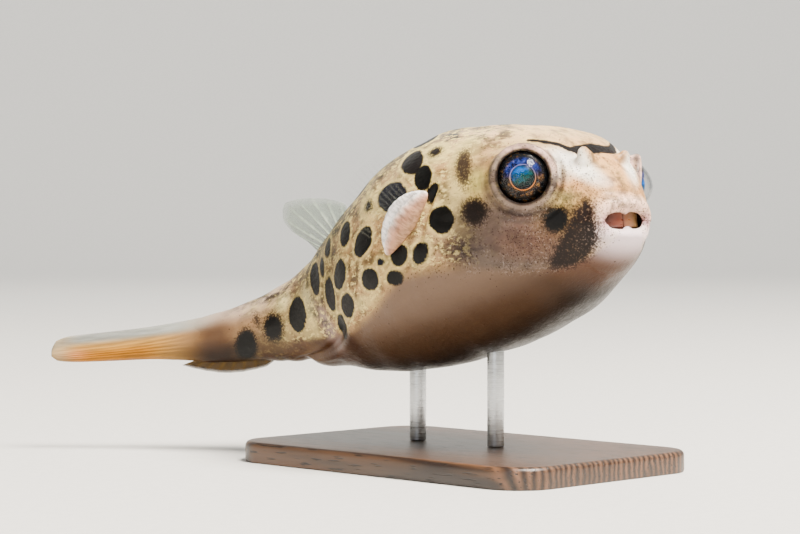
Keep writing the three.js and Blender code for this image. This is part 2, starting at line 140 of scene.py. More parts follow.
def between(stations, values, at):
    """A smooth curve through stations that never swings past them."""
    stations, values = np.asarray(stations, float), np.asarray(values, float)
    rise = np.diff(values) / np.diff(stations)
    product, total = rise[:-1] * rise[1:], rise[:-1] + rise[1:]
    inner = np.where(product > 0, 2 * product / np.where(product > 0, total, 1), 0)
    slope = np.concatenate([rise[:1], inner, rise[-1:]])
    i = np.clip(np.searchsorted(stations, at, side="left") - 1, 0, len(stations) - 2)
    run = stations[i + 1] - stations[i]
    t = np.clip((at - stations[i]) / run, 0, 1)
    return (
        (2 * t**3 - 3 * t**2 + 1) * values[i]
        + (t**3 - 2 * t**2 + t) * run * slope[i]
        + (3 * t**2 - 2 * t**3) * values[i + 1]
        + (t**3 - t**2) * run * slope[i + 1]
    )


def directions(back):
    """The swimmer's own forward, left and up at each place on its spine."""
    back = np.atleast_1d(np.asarray(back, float))
    turn, tilt = np.radians(between(*TURN, back)), np.radians(between(*TILT, back))
    forward = np.stack(
        [-np.sin(turn) * np.cos(tilt), -np.cos(turn) * np.cos(tilt), np.sin(tilt)], 1
    )
    level = np.stack([np.cos(turn), -np.sin(turn), np.zeros_like(turn)], 1)
    lean = -math.radians(LEAN)
    left = level * math.cos(lean) + np.cross(forward, level) * math.sin(lean)
    return forward, left, np.cross(forward, left)


STEP = 0.25  # millimetres between the places at which the spine is worked out
STEPS = np.arange(STEP, TOTAL_LENGTH + 4, STEP)
SPINE = np.concatenate(
    [np.zeros((1, 3)), np.cumsum(-STEP * directions(STEPS - STEP / 2)[0], 0)]
)


def on_spine(back):
    """Places on the spine, which runs straight on in front of the snout."""
    place = np.maximum(back, 0) / STEP
    i = np.minimum(place.astype(int), len(SPINE) - 2)
    point = SPINE[i] + (SPINE[i + 1] - SPINE[i]) * (place - i)[:, None]
    return point + directions(0)[0] * np.maximum(-back, 0)[:, None]


START = on_spine(np.array([float(BALANCE)]))[0]


def posed(points):
    """From (left, back, high) on the straight fish to the curved swimmer."""
    points = np.asarray(points, float)
    _, left, up = directions(np.maximum(points[:, 1], 0))
    centre = on_spine(points[:, 1]) - START + (0, 0, AXIS_HEIGHT)
    return centre + left * points[:, :1] + up * points[:, 2:]


def straightened(points):
    """The reverse of posed, by stepping along the spine until the section fits."""
    local = np.asarray(points, float) + START - (0, 0, AXIS_HEIGHT)
    coarse = SPINE[::4]
    back = np.empty(len(local))
    for first in range(0, len(local), 20000):
        part = local[first : first + 20000]
        gap = ((part[:, None, :] - coarse[None]) ** 2).sum(2)
        back[first : first + 20000] = gap.argmin(1) * STEP * 4
    for _ in range(14):
        forward = directions(np.maximum(back, 0))[0]
        back = back - 0.7 * ((local - on_spine(back)) * forward).sum(1)
    _, left, up = directions(np.maximum(back, 0))
    rest = local - on_spine(back)
    return np.stack([(rest * left).sum(1), back, (rest * up).sum(1)], 1)


def frame_at(left, back, high):
    """A rigid frame on the fish: x to its left, y to its tail and z to its back."""
    forward, side, up = (axis[0] for axis in directions(back))
    matrix = Matrix((side, -forward, up)).transposed().to_4x4()
    matrix.translation = posed([[left, back, high]])[0]
    return matrix


def eye_frame(side, forward=EYE_FORWARD, down=EYE_DOWN):
    """A frame on the eye's centre: x and y across the pupil, y up, z along the line of sight."""
    forward, down = math.radians(forward), math.radians(down)
    sight = Vector(
        (
            side * math.cos(forward) * math.cos(down),
            -math.sin(forward) * math.cos(down),
            -math.sin(down),
        )
    )
    across = Vector((0, 0, 1)).cross(sight).normalized()
    turned = Matrix((across, sight.cross(across), sight)).transposed().to_4x4()
    return frame_at(side * EYE_OUT[side], EYE_BACK, EYE_HIGH[side]) @ turned


def seen_by(side, places):
    """Places in the frame of an eye's socket, and how far each is from its line of sight."""
    local = np.array(eye_frame(side).inverted())
    seen = places @ local[:3, :3].T + local[:3, 3]
    return seen, np.hypot(seen[:, 0], seen[:, 1])


def height_at(back, out):
    """Height of the back over a place beside the midline."""
    widest = between(BODY["back"], BODY["widest"], back)
    square = between(BODY["back"], BODY["square"], back)
    rise = between(BODY["back"], BODY["top"], back) - widest
    part = min(abs(out) / between(BODY["back"], BODY["half"], back), 1)
    return float(widest + rise * (1 - part**square) ** (1 / square))


# ------------------------------------------------------------------ working on meshes


def deselect():
    """Leaves edit mode and selects nothing."""
    if bpy.context.mode != "OBJECT":
        bpy.ops.object.mode_set(mode="OBJECT")
    bpy.ops.object.select_all(action="DESELECT")


def grab(piece):
    """Selects one piece alone and makes it the active one."""
    deselect()
    bpy.context.view_layer.objects.active = piece
    piece.select_set(True)


def edit():
    """Opens the active piece in edit mode with all of it selected."""
    bpy.ops.object.mode_set(mode="EDIT")
    bpy.ops.mesh.select_all(action="SELECT")


def named(name):
    """Names the primitive that was just added."""
    piece = bpy.context.object
    piece.name = piece.data.name = name
    return piece


def points(piece):
    """Where the vertices are."""
    co = np.empty(len(piece.data.vertices) * 3)
    piece.data.vertices.foreach_get("co", co)
    return co.reshape(-1, 3)


def set_points(piece, co):
    """Moves the vertices."""
    piece.data.vertices.foreach_set("co", np.asarray(co, float).ravel())
    piece.data.update()


def normals(piece):
    """Which way the surface faces at each vertex."""
    out = np.empty(len(piece.data.vertices) * 3)
    piece.data.vertex_normals.foreach_get("vector", out)
    return out.reshape(-1, 3)


def place(piece, matrix):
    """Moves the whole mesh; the object stays at the origin."""
    piece.data.transform(matrix)
    piece.data.update()
    return piece


def close_up(piece, distance=1e-4):
    """Merges doubles in edit mode and turns every face outwards."""
    grab(piece)
    edit()
    bpy.ops.mesh.remove_doubles(threshold=distance)
    bpy.ops.mesh.normals_make_consistent(inside=False)
    bpy.ops.object.mode_set(mode="OBJECT")
    return piece


def modify(piece, kind, **settings):
    """Adds a modifier and applies it."""
    grab(piece)
    modifier = piece.modifiers.new(kind.title(), kind)
    for key, value in settings.items():
        setattr(modifier, key, value)
    bpy.ops.object.modifier_apply(modifier=modifier.name)
    return piece


def combine(piece, other, operation):
    """Joins or cuts with another closed mesh, which is used up."""
    modify(piece, "BOOLEAN", operation=operation, solver="MANIFOLD", object=other)
    bpy.data.objects.remove(other)
    return piece


def join(pieces, name):
    """Makes one mesh of several."""
    deselect()
    for piece in pieces:
        piece.select_set(True)
    bpy.context.view_layer.objects.active = pieces[0]
    bpy.ops.object.join()
    return named(name)


def store(piece, name, values, kind="FLOAT"):
    """Writes one number, direction or colour for each vertex, for the material to read."""
    layer = piece.data.attributes.new(name, kind, "POINT")
    slot = {"FLOAT": "value", "FLOAT_VECTOR": "vector", "FLOAT_COLOR": "color"}[kind]
    layer.data.foreach_set(slot, np.asarray(values, np.float32).ravel())


def settle(piece, material, slot, *nodes):
    """Brings a finished piece to metres, gives it its material and puts it on the frame."""
    place(piece, Matrix.Scale(MM, 4))
    grab(piece)
    bpy.ops.object.shade_smooth()
    piece.data.materials.clear()
    piece.data.materials.append(material)
    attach(piece, "root")
    if nodes:
        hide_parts(*nodes)
    deselect()
    return piece


def sphere(name, radius, segments, rings):
    """A ball to be shaped further."""
    deselect()
    bpy.ops.mesh.primitive_uv_sphere_add(segments=segments, ring_count=rings, radius=radius)
    return named(name)


def ring(name, radius, thick, segments, rings):
    """A ring to be shaped further; thick is half its thickness."""
    deselect()
    bpy.ops.mesh.primitive_torus_add(
        major_radius=radius, minor_radius=thick, major_segments=segments, minor_segments=rings
    )
    return named(name)


def cylinder(name, radius, height, centre):
    """An upright round bar."""
    deselect()
    bpy.ops.mesh.primitive_cylinder_add(vertices=64, radius=radius, depth=height, location=centre)
    piece = named(name)
    bpy.ops.object.transform_apply(location=True, rotation=True, scale=True)
    return piece


def block(name, size, radius, segments, cuts=0):
    """A cube brought to size, with its edges rolled over and its faces cut finer."""
    deselect()
    bpy.ops.mesh.primitive_cube_add(size=1)
    piece = named(name)
    edit()
    bpy.ops.transform.resize(value=size)
    bpy.ops.mesh.bevel(offset=radius, segments=segments, affect="EDGES")
    if cuts:
        bpy.ops.mesh.select_all(action="SELECT")
        bpy.ops.mesh.subdivide(number_cuts=cuts)
    bpy.ops.object.mode_set(mode="OBJECT")
    return piece


CAP = 0.03  # the share of a tube's rows that closes each end


def tube(name, table, around, along, dome=0.5):
    """A closed tube over a table of stations, wrapped from a flat grid. Its sections are
    ellipses with squared shoulders, and its tail end is a low dome."""
    deselect()
    bpy.ops.mesh.primitive_grid_add(x_subdivisions=around, y_subdivisions=along, size=2)
    piece = named(name)
    flat = points(piece)
    angle = flat[:, 0] * math.pi
    row = (flat[:, 1] + 1) / 2
    fill = np.clip(np.minimum(row, 1 - row) / CAP, 0, 1)
    u = np.clip((row - CAP) / (1 - 2 * CAP), 0, 1)
    first, length = table["back"][0], table["back"][-1] - table["back"][0]
    back = first + length * (0.4 * u * u + 0.6 * u)
    x, z = np.cos(angle), np.sin(angle)
    zero, two = np.zeros_like(back), np.full_like(back, 2.0)
    widest = between(table["back"], table["widest"], back) if "widest" in table else zero
    square = between(table["back"], table["square"], back) if "square" in table else two
    power = 2 / np.where(z > 0, square, BELLY_SQUARE if "square" in table else 2)
    reach = np.where(
        z > 0,
        between(table["back"], table["top"], back) - widest,
        between(table["back"], table["bottom"], back) + widest,
    )
    half = between(table["back"], table["half"], back)
    left = half * np.sign(x) * np.abs(x) ** power * fill
    high = widest + reach * np.sign(z) * np.abs(z) ** power * fill
    back = back + np.where(row > 0.5, dome * (1 - fill**2), 0)
    set_points(piece, np.stack([left, back, high], 1))
    return close_up(piece, 1e-3)


# ------------------------------------------------------------------ colours and materials


def colour(code):
    """An sRGB hex colour as linear numbers."""
    parts = [int(code[i : i + 2], 16) / 255 for i in (1, 3, 5)]
    return tuple(p / 12.92 if p <= 0.04045 else ((p + 0.055) / 1.055) ** 2.4 for p in parts) + (1,)


def new_material(name):
    """An empty material, and the function that adds one node to it."""
    material = bpy.data.materials.new(name)
    material.use_nodes = True
    tree = material.node_tree
    tree.nodes.clear()

    def add(kind, *given, out="", stops=(), **named):
        """Adds a node and gives its first output, or the one named. Small names are settings of
        the node. Inputs are filled in order or by capital name: a link, a number or a hex code."""
        made = tree.nodes.new("ShaderNode" + kind)
        for key in [key for key in named if key[0].islower()]:
            setattr(made, key, named.pop(key))
        filled = list(zip([socket for socket in made.inputs if socket.enabled], given))
        filled += [(made.inputs[key.replace("_", " ")], value) for key, value in named.items()]
        for socket, value in filled:
            if isinstance(value, bpy.types.NodeSocket):
                tree.links.new(value, socket)
            else:
                socket.default_value = colour(value) if isinstance(value, str) else value
        if stops:
            band = made.color_ramp.elements
            while len(band) < len(stops):
                band.new(1)
            for element, (position, code) in zip(band, stops):
                element.position, element.color = position, colour(code)
        if out:
            return made.outputs[out]
        return next((socket for socket in made.outputs if socket.enabled), None)

    return material, add


EASY = {"interpolation_type": "SMOOTHSTEP"}  # a range that eases in and out
RGBA = {"data_type": "RGBA"}  # a mix of colours
WET = 1.4  # a film of water makes a paint deeper and fuller by this gamma
# thin moist skin over flesh, which light enters a little
MOIST = {
    "IOR": 1.38,
    "Coat_Weight": 0.07,
    "Coat_Roughness": 0.2,
    "Specular_IOR_Level": 0.22,
    "Subsurface_Weight": 0.06,
    "Subsurface_Scale": 1.2 * MM,
}
SKIN = MOIST | {"Subsurface_Radius": (1.0, 0.5, 0.35)}
FLESH = MOIST | {"Subsurface_Radius": (1.0, 0.45, 0.3)}


def finish(add, paint, rough, relief, depth, strength=0.6, **constants):
    """Ends a material with its shader, which holds the constants of the real finish. Rough is
    what the roughness follows with its range, and the bump's depth is in millimetres."""
    rough = add("MapRange", *rough, **EASY)
    bump = add("Bump", Height=relief, Distance=depth * MM, Strength=strength)
    shader = add("BsdfPrincipled", paint, Roughness=rough, Normal=bump, **constants)
    add("OutputMaterial", shader)


def scaleless_wet_skin(settings):
    """Pufferfish skin: scaleless, with flecks of pigment and fine folds under a film of
    mucus, so it is satin with a soft wet shine."""
    material, add = new_material("scaleless_wet_skin")
    where = add("Attribute", out="Vector", attribute_name="straight")
    mark = add("Attribute", out="Fac", attribute_name="mark")
    ink = add("Attribute", out="Color", attribute_name="ink")
    solid = ink.node.outputs["Alpha"]
    # how thick the yellow flecks, the silver flecks, the dark dots and the clouds lie
    cover = add("Attribute", out="Vector", attribute_name="cover")
    yellow, silvery, dotty = add("SeparateXYZ", cover).node.outputs
    cloudy = add("Attribute", out="Fac", attribute_name="cloud")

    # clouds of brown pigment about 1.5 mm across, drawn out along the body
    drawn = add("Mapping", where, Scale=(1.5, 0.7, 1.5))
    shade = add("MapRange", add("TexNoise", drawn, 0.62, 5.0, 0.62), 0.37, 0.58, 0.42, 1.12, **EASY)
    shade = add("Math", shade, 1.0, operation="SUBTRACT")
    shade = add("Math", shade, cloudy, 1.0, operation="MULTIPLY_ADD")
    ground = add("Attribute", out="Color", attribute_name="ground")
    paint = add("VectorMath", ground, shade, operation="SCALE")

    # yellow and cream flecks, 0.2 to 0.6 mm, drawn out the same way
    fleck = add("MapRange", add("TexNoise", drawn, 1.9, 4.0, 0.7), 0.50, 0.62, **EASY)
    fleck = add("Math", fleck, yellow, operation="MULTIPLY")
    paint = add("Mix", fleck, paint, settings.fleck_code, **RGBA)

    # silvery flecks on the cheek, 0.15 mm wide and 0.5 mm long, in two slants
    slants = []
    for scale, slant, size in (((3.0, 4.2, 1.4), 0.6, 1.6), ((3.0, 1.6, 3.6), -0.4, 1.5)):
        slanted = add("Mapping", where, Scale=scale, Rotation=(slant, 0, 0))
        slants.append(add("TexNoise", slanted, size, 3.0, 0.65))
    silver = add("MapRange", add("Math", *slants, operation="MAXIMUM"), 0.52, 0.92, **EASY)
    patchy = add("MapRange", add("TexNoise", where, 0.45), 0.32, 0.58, **EASY)
    for share in (patchy, silvery):
        silver = add("Math", silver, share, operation="MULTIPLY")
    paint = add("Mix", silver, paint, "#C9BCB4", **RGBA)

    # single dark pigment cells in drifts, a coarse kind and a fine one
    drift = add("MapRange", add("TexNoise", where, 0.9, 3.0), 0.35, 0.65, 0.35, 1.5, **EASY)
    drift = add("Math", drift, dotty, operation="MULTIPLY")
    for scale, size in ((3.4, 0.40), (5.6, 0.52)):
        cell = add("TexVoronoi", where, scale)
        chance, width, _ = add("SeparateColor", cell.node.outputs["Color"]).node.outputs
        width = add("MapRange", width, 0.0, 1.0, 0.4, 1.0, **EASY)
        width = add("Math", width, size, operation="MULTIPLY")
        dot = add("Math", cell, width, operation="DIVIDE")
        dot = add("MapRange", dot, 0.4, 1.0, 0.75, 0.0, **EASY)
        shown = add("Math", chance, drift, operation="LESS_THAN")
        dot = add("Math", dot, shown, operation="MULTIPLY")
        paint = add("Mix", dot, paint, "#3A241B", **RGBA)

    # the ground is paler and yellower close round each spot
    halo = add("MapRange", mark, -0.8, -0.2, 0.0, 0.6, **EASY)
    halo = add("Math", halo, yellow, operation="MULTIPLY")
    paint = add("Mix", halo, paint, settings.fleck_code, **RGBA)

    # the spots: a soft wobble of the edge; where the ink is thin it breaks up into grains
    edge = mark
    for scale, depth in ((1.3, 0.4), (7.0, 0.34)):
        edge = add("Math", add("TexNoise", where, scale), depth, edge, operation="MULTIPLY_ADD")
    inked = add("MapRange", edge, 0.12, 0.36, **EASY)
    grain = add("MapRange", add("TexNoise", where, 5.2, 2.0, 0.7), 0.3, 0.7, **EASY)
    grain = add("Math", add("Math", solid, 1.45, operation="MULTIPLY"), grain, operation="SUBTRACT")
    grain = add("MapRange", grain, -0.25, 0.5, **EASY)
    tone = add("MapRange", solid, 0.1, 0.9, 0.4, 1.0, **EASY)
    for share in (grain, tone):
        inked = add("Math", inked, share, operation="MULTIPLY")
    paint = add("Gamma", add("Mix", inked, paint, ink, **RGBA), WET)

    # fine folds every 0.4 mm, and the pores of the small spines every 0.9 mm
    folds = add("TexNoise", drawn, 1.9, 4.0, 0.65)
    pores = add("MapRange", add("TexVoronoi", where, 1.1), 0.0, 0.22, 0.5, 0.0, **EASY)
    relief = add("Math", folds, pores, operation="ADD")
    finish(add, paint, (folds, 0.3, 0.7, 0.36, 0.52), relief, 0.07, 0.7, **SKIN)
    return material


def fish_iris(settings):
    """A fish's eye: a blue-green pupil whose reflection is a painted sheen, with a gold rim,
    in a dark iris with violet and gold dust, under a wet surface, all with a faint painted glow."""
    material, add = new_material("fish_iris")
    gaze = add("Attribute", out="Vector", attribute_name="gaze")
    across, up, depth = add("SeparateXYZ", gaze).node.outputs
    radius = add("VectorMath", add("CombineXYZ", across, up), operation="LENGTH")
    dust = add("TexNoise", gaze, 3.2, 4.0, 0.7)
    ragged = add("Math", dust, 0.5, operation="SUBTRACT")
    ragged = add("Math", ragged, 0.3, radius, operation="MULTIPLY_ADD")

    # the pupil, with a painted sheen: bright blue above, green beside, nearly black at the lower edge, and
    # painted shadow round its edge
    slope = add("VectorMath", gaze, settings.sheen, operation="DOT_PRODUCT")
    slope = add("Math", add("TexNoise", gaze, 2.4, 4.0, 0.7), 1.3, slope, operation="MULTIPLY_ADD")
    blues = ((0.24, "#010E12"), (0.46, "#013A36"), (0.62, "#026A68"), (0.80, "#035C8C"), (1.05, "#1080C8"))
    shadow = add("MapRange", ragged, 0.75, 1.15, 0.0, 0.75, **EASY)
    pupil = add("Mix", shadow, add("ValToRGB", slope, stops=blues), "#021824", **RGBA)

    # the iris: violet-blue above the pupil, brown and olive gold below, and an outer rim that
    # is nearly black with a broken line of gold
    upper, lower, rim = (
        add("ValToRGB", dust, stops=stops)
        for stops in (
            ((0.36, "#0A0E24"), (0.49, "#203A86"), (0.61, "#6070B4"), (0.73, "#C4A8C8")),
            ((0.38, "#140C08"), (0.50, "#3C2812"), (0.60, "#7A5A24"), (0.72, "#B48E4A")),
            ((0.42, "#120B08"), (0.56, "#2C1D12"), (0.66, "#8A6A34")),
        )
    )
    high = add("MapRange", add("Math", dust, 1.6, up, operation="MULTIPLY_ADD"), 0.6, 1.7, **EASY)
    eye = add("Mix", high, lower, upper, **RGBA)
    eye = add("Mix", add("MapRange", ragged, 1.58, 1.86, **EASY), eye, rim, **RGBA)
    eye = add("Mix", add("Math", ragged, 1.10, operation="LESS_THAN"), eye, pupil, **RGBA)

    # the thin bright ring round the pupil: gold below, pale violet above
    tint = add("MapRange", up, -0.7, 0.7, **EASY)
    tint = add("ValToRGB", tint, stops=((0.0, "#E2A050"), (0.5, "#C0A494"), (1.0, "#A09CD0")))
    ring = add("Math", add("Math", radius, 1.13, operation="SUBTRACT"), operation="ABSOLUTE")
    eye = add("Mix", add("MapRange", ring, 0.012, 0.06, 1.0, 0.0, **EASY), eye, tint, **RGBA)
    # the white of the eyeball starts at its widest
    eye = add("Mix", add("MapRange", depth, 0.5, 0.8, 1.0, 0.0, **EASY), eye, "#CBBFB4", **RGBA)
    eye = add("Gamma", eye, 1.5)
    # a painted glow: the eye gives out a little light in its own colours
    coat_and_painted_glow = {"Coat_Weight": 0.04, "Coat_Roughness": 0.04, "Emission_Strength": settings.glow}
    wet_surface_and_glow_colour = {"IOR": 1.34, "Specular_IOR_Level": 0.2, "Emission_Color": eye}
    finish(add, eye, (dust, 0.3, 0.7, 0.25, 0.45), dust, 0.05, **wet_surface_and_glow_colour, **coat_and_painted_glow)
    return material


def clear_cornea(settings):
    """The cornea: clear, wet and perfectly smooth, seen by its highlights and edge on."""
    material, add = new_material("clear_cornea")
    edge_on = add("LayerWeight", 0.5, out="Facing")
    solid = add("MapRange", edge_on, 0.35, 1.0, settings.cornea, 0.55, **EASY)
    haze = add("TexNoise", add("Attribute", out="Vector", attribute_name="gaze"), 0.8)
    paint = add("ValToRGB", haze, stops=((0.3, "#202830"), (0.7, "#343E46")))
    wet = {"IOR": 1.38, "Roughness": 0.02, "Coat_Weight": 1.0, "Coat_Roughness": 0.01}
    add("OutputMaterial", add("BsdfPrincipled", paint, Alpha=solid, **wet))
    return material


def beak_enamel():
    """The beak of a young puffer: thin enamel over red-brown bone, glossy, with fine
    growth lines."""
    material, add = new_material("beak_enamel")
    at = add("Attribute", out="Vector", attribute_name="straight")
    growth = add("TexNoise", add("Mapping", at, Scale=(0.7, 0.7, 2.6)), 1.4, 3.0)
    # the bone's own red-brown, with painted shade darker towards the fish's right side and paler towards
    # its left
    side = add("Math", growth, 1.5, add("SeparateXYZ", at), operation="MULTIPLY_ADD")
    browns = ((0.0, "#48190F"), (0.35, "#622E1C"), (0.6, "#74482C"), (0.8, "#66482A"), (1.0, "#94744A"))
    bone = add("ValToRGB", add("MapRange", side, -1.6, 3.4, **EASY), stops=browns)
    enamel = {"IOR": 1.6, "Coat_Weight": 0.3, "Coat_Roughness": 0.12}
    finish(add, bone, (growth, 0.3, 0.7, 0.25, 0.45), growth, 0.04, **enamel)
    return material


def fin_membrane(name, web, ray, opacity, ray_opacity):
    """Fin membrane: a clear film between paler horny rays, a little milky at the rays."""
    material, add = new_material(name)
    milk = add("TexNoise", add("Attribute", out="Vector", attribute_name="straight"), 0.9, 4.0, 0.6)
    near_ray = add("Attribute", out="Fac", attribute_name="ray")
    near_ray = add("Math", near_ray, 0.65, operation="MULTIPLY")
    part = add("Math", milk, 0.7, near_ray, operation="MULTIPLY_ADD")
    part = add("MapRange", part, 0.2, 0.95, **EASY)
    solid = add("MapRange", part, 0.0, 1.0, opacity, ray_opacity, **EASY)
    reach = add("Attribute", out="Fac", attribute_name="reach")
    fade = add("MapRange", reach, 0.8, 1.0, 1.0, 0.5, **EASY)
    solid = add("Math", solid, fade, operation="MULTIPLY")
    paint = add("Gamma", add("ValToRGB", part, stops=((0.0, web), (1.0, ray))), WET)
    film = {"IOR": 1.36, "Specular_IOR_Level": 0.2, "Alpha": solid}
    finish(add, paint, (milk, 0.3, 0.7, 0.3, 0.5), milk, 0.04, 0.4, **film)
    return material


def fin_flesh():
    """The fleshy root of a paired fin: pinkish white, thin-skinned and moist."""
    material, add = new_material("fin_flesh")
    at = add("Attribute", out="Vector", attribute_name="lobe")
    cloud = add("TexNoise", at, 1.2, 4.0, 0.6)
    streak = add("TexNoise", add("Mapping", at, Scale=(1.0, 0.8, 2.6)), 1.3, 4.0, 0.65)
    tailward = add("SeparateXYZ", at).node.outputs["Y"]
    tone = add("Math", cloud, 0.5, operation="SUBTRACT")
    tone = add("Math", tone, 0.9, tailward, operation="MULTIPLY_ADD")
    # pinkish white towards the tail and browner towards the head: partly the root's own colour, partly
    # painted shade where it folds against the flank
    pinks = (
        (0.0, "#C4A488"),
        (0.2, "#CCA48C"),
        (0.4, "#E6CCBE"),
        (0.5, "#F2E6DE"),
        (0.62, "#FAF6F4"),
        (1.0, "#FFFCFC"),
    )
    paint = add("ValToRGB", add("MapRange", tone, -1.7, 1.7, **EASY), stops=pinks)
    shade = add("MapRange", streak, 0.38, 0.58, 0.74, 1.05, **EASY)
    paint = add("Gamma", add("VectorMath", paint, shade, operation="SCALE"), WET)
    finish(add, paint, (cloud, 0.3, 0.7, 0.34, 0.5), streak, 0.08, 0.8, **FLESH)
    return material


def packed_rays():
    """Rays of the folded tail packed side by side under thin skin: streaked lengthwise."""
    material, add = new_material("packed_rays")
    at = add("Attribute", out="Vector", attribute_name="straight")
    streak = add("TexNoise", add("Mapping", at, Scale=(2.5, 0.2, 2.5)), 1.3, 4.0, 0.6)
    shade = add("MapRange", streak, 0.36, 0.62, 0.86, 1.06, **EASY)
    rib = add("Attribute", out="Fac", attribute_name="ray")
    rib = add("MapRange", rib, 0.0, 1.0, 0.9, 1.03, **EASY)
    shade = add("Math", shade, rib, operation="MULTIPLY")
    # the rays start to show behind the root, 53 to 57 mm from the snout
    grown = add("MapRange", add("SeparateXYZ", at).node.outputs["Y"], 53.0, 57.0, **EASY)
    shade = add("Math", shade, 1.0, operation="SUBTRACT")
    shade = add("Math", shade, grown, 1.0, operation="MULTIPLY_ADD")
    ground = add("Attribute", out="Color", attribute_name="ground")
    paint = add("Gamma", add("VectorMath", ground, shade, operation="SCALE"), WET)
    finish(add, paint, (streak, 0.3, 0.7, 0.36, 0.52), streak, 0.04, **FLESH)
    return material


def stained_walnut(settings):
    """Walnut, stained dark and rubbed with satin oil: long grain, fine open pores."""
    material, add = new_material("stained_walnut")
    at = add("TexCoord", out="Object")
    # growth lines about 1.6 mm apart, running along the base
    lengthwise = add("Mapping", at, Scale=(620, 60, 620), Rotation=(0.1, 0, 0.06))
    grain = add("TexWave", lengthwise, 0.7, 6.0, 3.0, 0.8, out="Fac", bands_direction="X")
    grain = add("Math", grain, add("TexNoise", lengthwise, 0.6, 5.0, 0.6), operation="MULTIPLY")
    browns = ((0.0, "#22140D"), (0.3, settings.wood_code), (0.7, "#6B4A34"))
    # pores 0.15 mm wide and 2 mm long
    pore = add("TexNoise", add("Mapping", at, Scale=(5200, 420, 5200)), 1.0, 1.0)
    pore = add("MapRange", pore, 0.60, 0.70, **EASY)
    paint = add("Mix", pore, add("ValToRGB", grain, stops=browns), "#150C08", **RGBA)
    sunk = add("Math", 1.0, pore, operation="SUBTRACT")
    oil = {"IOR": 1.5, "Coat_Weight": 0.15, "Coat_Roughness": 0.3}
    finish(add, paint, (grain, 0.0, 1.0, 0.4, 0.55), sunk, 0.04, 0.7, **oil)
    return material


def brushed_steel():
    """Stainless steel rod, brushed round and round: fine bright rings across it."""
    material, add = new_material("brushed_steel")
    # scratches about 0.05 mm wide, drawn at 0.12 mm so that they show
    rings = add("Mapping", add("TexCoord", out="Object"), Scale=(300, 300, 8000))
    scratch = add("TexNoise", rings, 1.0)
    paint = add("ValToRGB", scratch, stops=((0.3, "#B4B7BA"), (0.7, "#CCCFD2")))
    finish(add, paint, (scratch, 0.3, 0.7, 0.26, 0.36), scratch, 0.004, 0.3, Metallic=1.0)
    return material


def backdrop_paper(settings):
    """Seamless backdrop paper: pale, matt, with the faint clouding of its fibre."""
    material, add = new_material("backdrop_paper")
    fibre = add("TexNoise", add("TexCoord", out="Object"), 900.0, 3.0)
    pale = add("MapRange", fibre, 0.3, 0.7, 0.95, 1.0, **EASY)
    paint = add("VectorMath", colour(settings.paper_code)[:3], pale, operation="SCALE")
    finish(add, paint, (fibre, 0.3, 0.7, 0.85, 0.95), fibre, 0.02, 0.2)
    return material


# ------------------------------------------------------------------ the pattern of the skin
# Marks are ellipses on the skin: back, round (degrees up from the widest line), half length,
# half height, tilt, blur and ink. Blur 1 is a crisp spot, more is a softer one.

INKS = {
    "black": ("#070504", 1.0),
    "brown black": ("#0E0806", 1.0),
    "blue black": ("#0E1630", 1.0),
    "purple brown": ("#1E1212", 1.0),
    "olive black": ("#0A0703", 1.0),
    "umber": ("#281B15", 0.9),
    "brown": ("#54483C", 0.85),
    "faint": ("#6A5142", 0.7),
    "line": ("#20140F", 1.0),
    "thin line": ("#6E5444", 0.7),
    "smudge": ("#281912", 0.82),
}
RIGHT_MARKS = [
    (14.8, 10, 1.35, 1.15, 15, 1, "black"),
    (17.05, 35.5, 1.32, 0.95, 59, 1, "black"),
    (19.3, 49, 2.00, 1.10, 47, 1.3, "purple brown"),
    (16.4, 50, 1.20, 0.78, 26, 1.4, "umber"),
    (20.0, 70, 2.10, 1.10, 40, 1, "brown black"),
    (15.8, 26, 0.74, 0.40, -58, 1.3, "brown black"),
    (21.2, 32, 2.20, 1.35, 28, 1.2, "blue black"),
    (24.8, 35, 1.10, 0.70, 51, 1.8, "purple brown"),
    (28.9, 31, 1.30, 0.85, 80, 1, "black"),
    (25.8, 16, 1.50, 1.15, -25, 1, "black"),
    (30.7, 8, 1.40, 1.00, -40, 1, "black"),
    (25.9, -6, 1.25, 0.92, 6, 1, "black"),
    (22.3, -11, 0.95, 0.60, 10, 1.2, "black"),
    (20.9, -1, 1.15, 0.80, -7, 1, "black"),
    (18.0, -4, 1.00, 0.72, -29, 1.3, "brown black"),
    (23.6, 0, 0.42, 0.26, 15, 1, "blue black"),
    (33.4, 1, 1.45, 0.80, -73, 1, "black"),
    (31.0, -13, 1.20, 0.88, -30, 1, "black"),
    (35.6, 26, 1.80, 0.85, 83, 1, "black"),
    (33.5, -25, 1.20, 0.66, -58, 1, "brown black"),
    (39.7, 3, 1.65, 1.20, -65, 1, "black"),
    (43.4, -3, 1.85, 1.60, -65, 2.2, "brown black"),
    (47.2, -34, 2.05, 1.25, -63, 1.5, "black"),
    (26.1, -18, 0.40, 0.22, 0, 1.5, "faint"),
    (28.3, -16, 0.45, 0.22, 0, 1.5, "faint"),
    (32.6, 38, 1.00, 0.55, 82, 1.2, "brown black"),
    (33.9, 27, 0.90, 0.36, 85, 1.3, "brown black"),
    (45.3, 21, 1.20, 0.60, 70, 1.8, "brown"),
    (38.7, -35, 1.50, 0.50, 90, 3, "faint"),
    (3.75, -5, 1.40, 1.30, 90, 1.7, "olive black"),
    (11.0, 10, 1.80, 1.60, 11, 2.2, "umber"),
    (12.2, 36, 2.60, 1.15, 75, 2.2, "brown"),
    (27.8, 62, 1.30, 0.95, 40, 1, "black"),
    (24.3, 76, 1.40, 1.05, 20, 1, "black"),
    (31.2, 84, 1.35, 1.00, 80, 1.2, "brown black"),
    (37.4, 74, 1.20, 0.80, 70, 1.4, "brown black"),
    (16.6, 88, 1.10, 0.85, 10, 2, "brown"),
]
# the left side carries the same spots, each a little out of place
LEFT_MARKS = [
    (back + 0.6 * math.sin(2 * back), turn + 3 * math.cos(back), *rest)
    for back, turn, *rest in RIGHT_MARKS
]
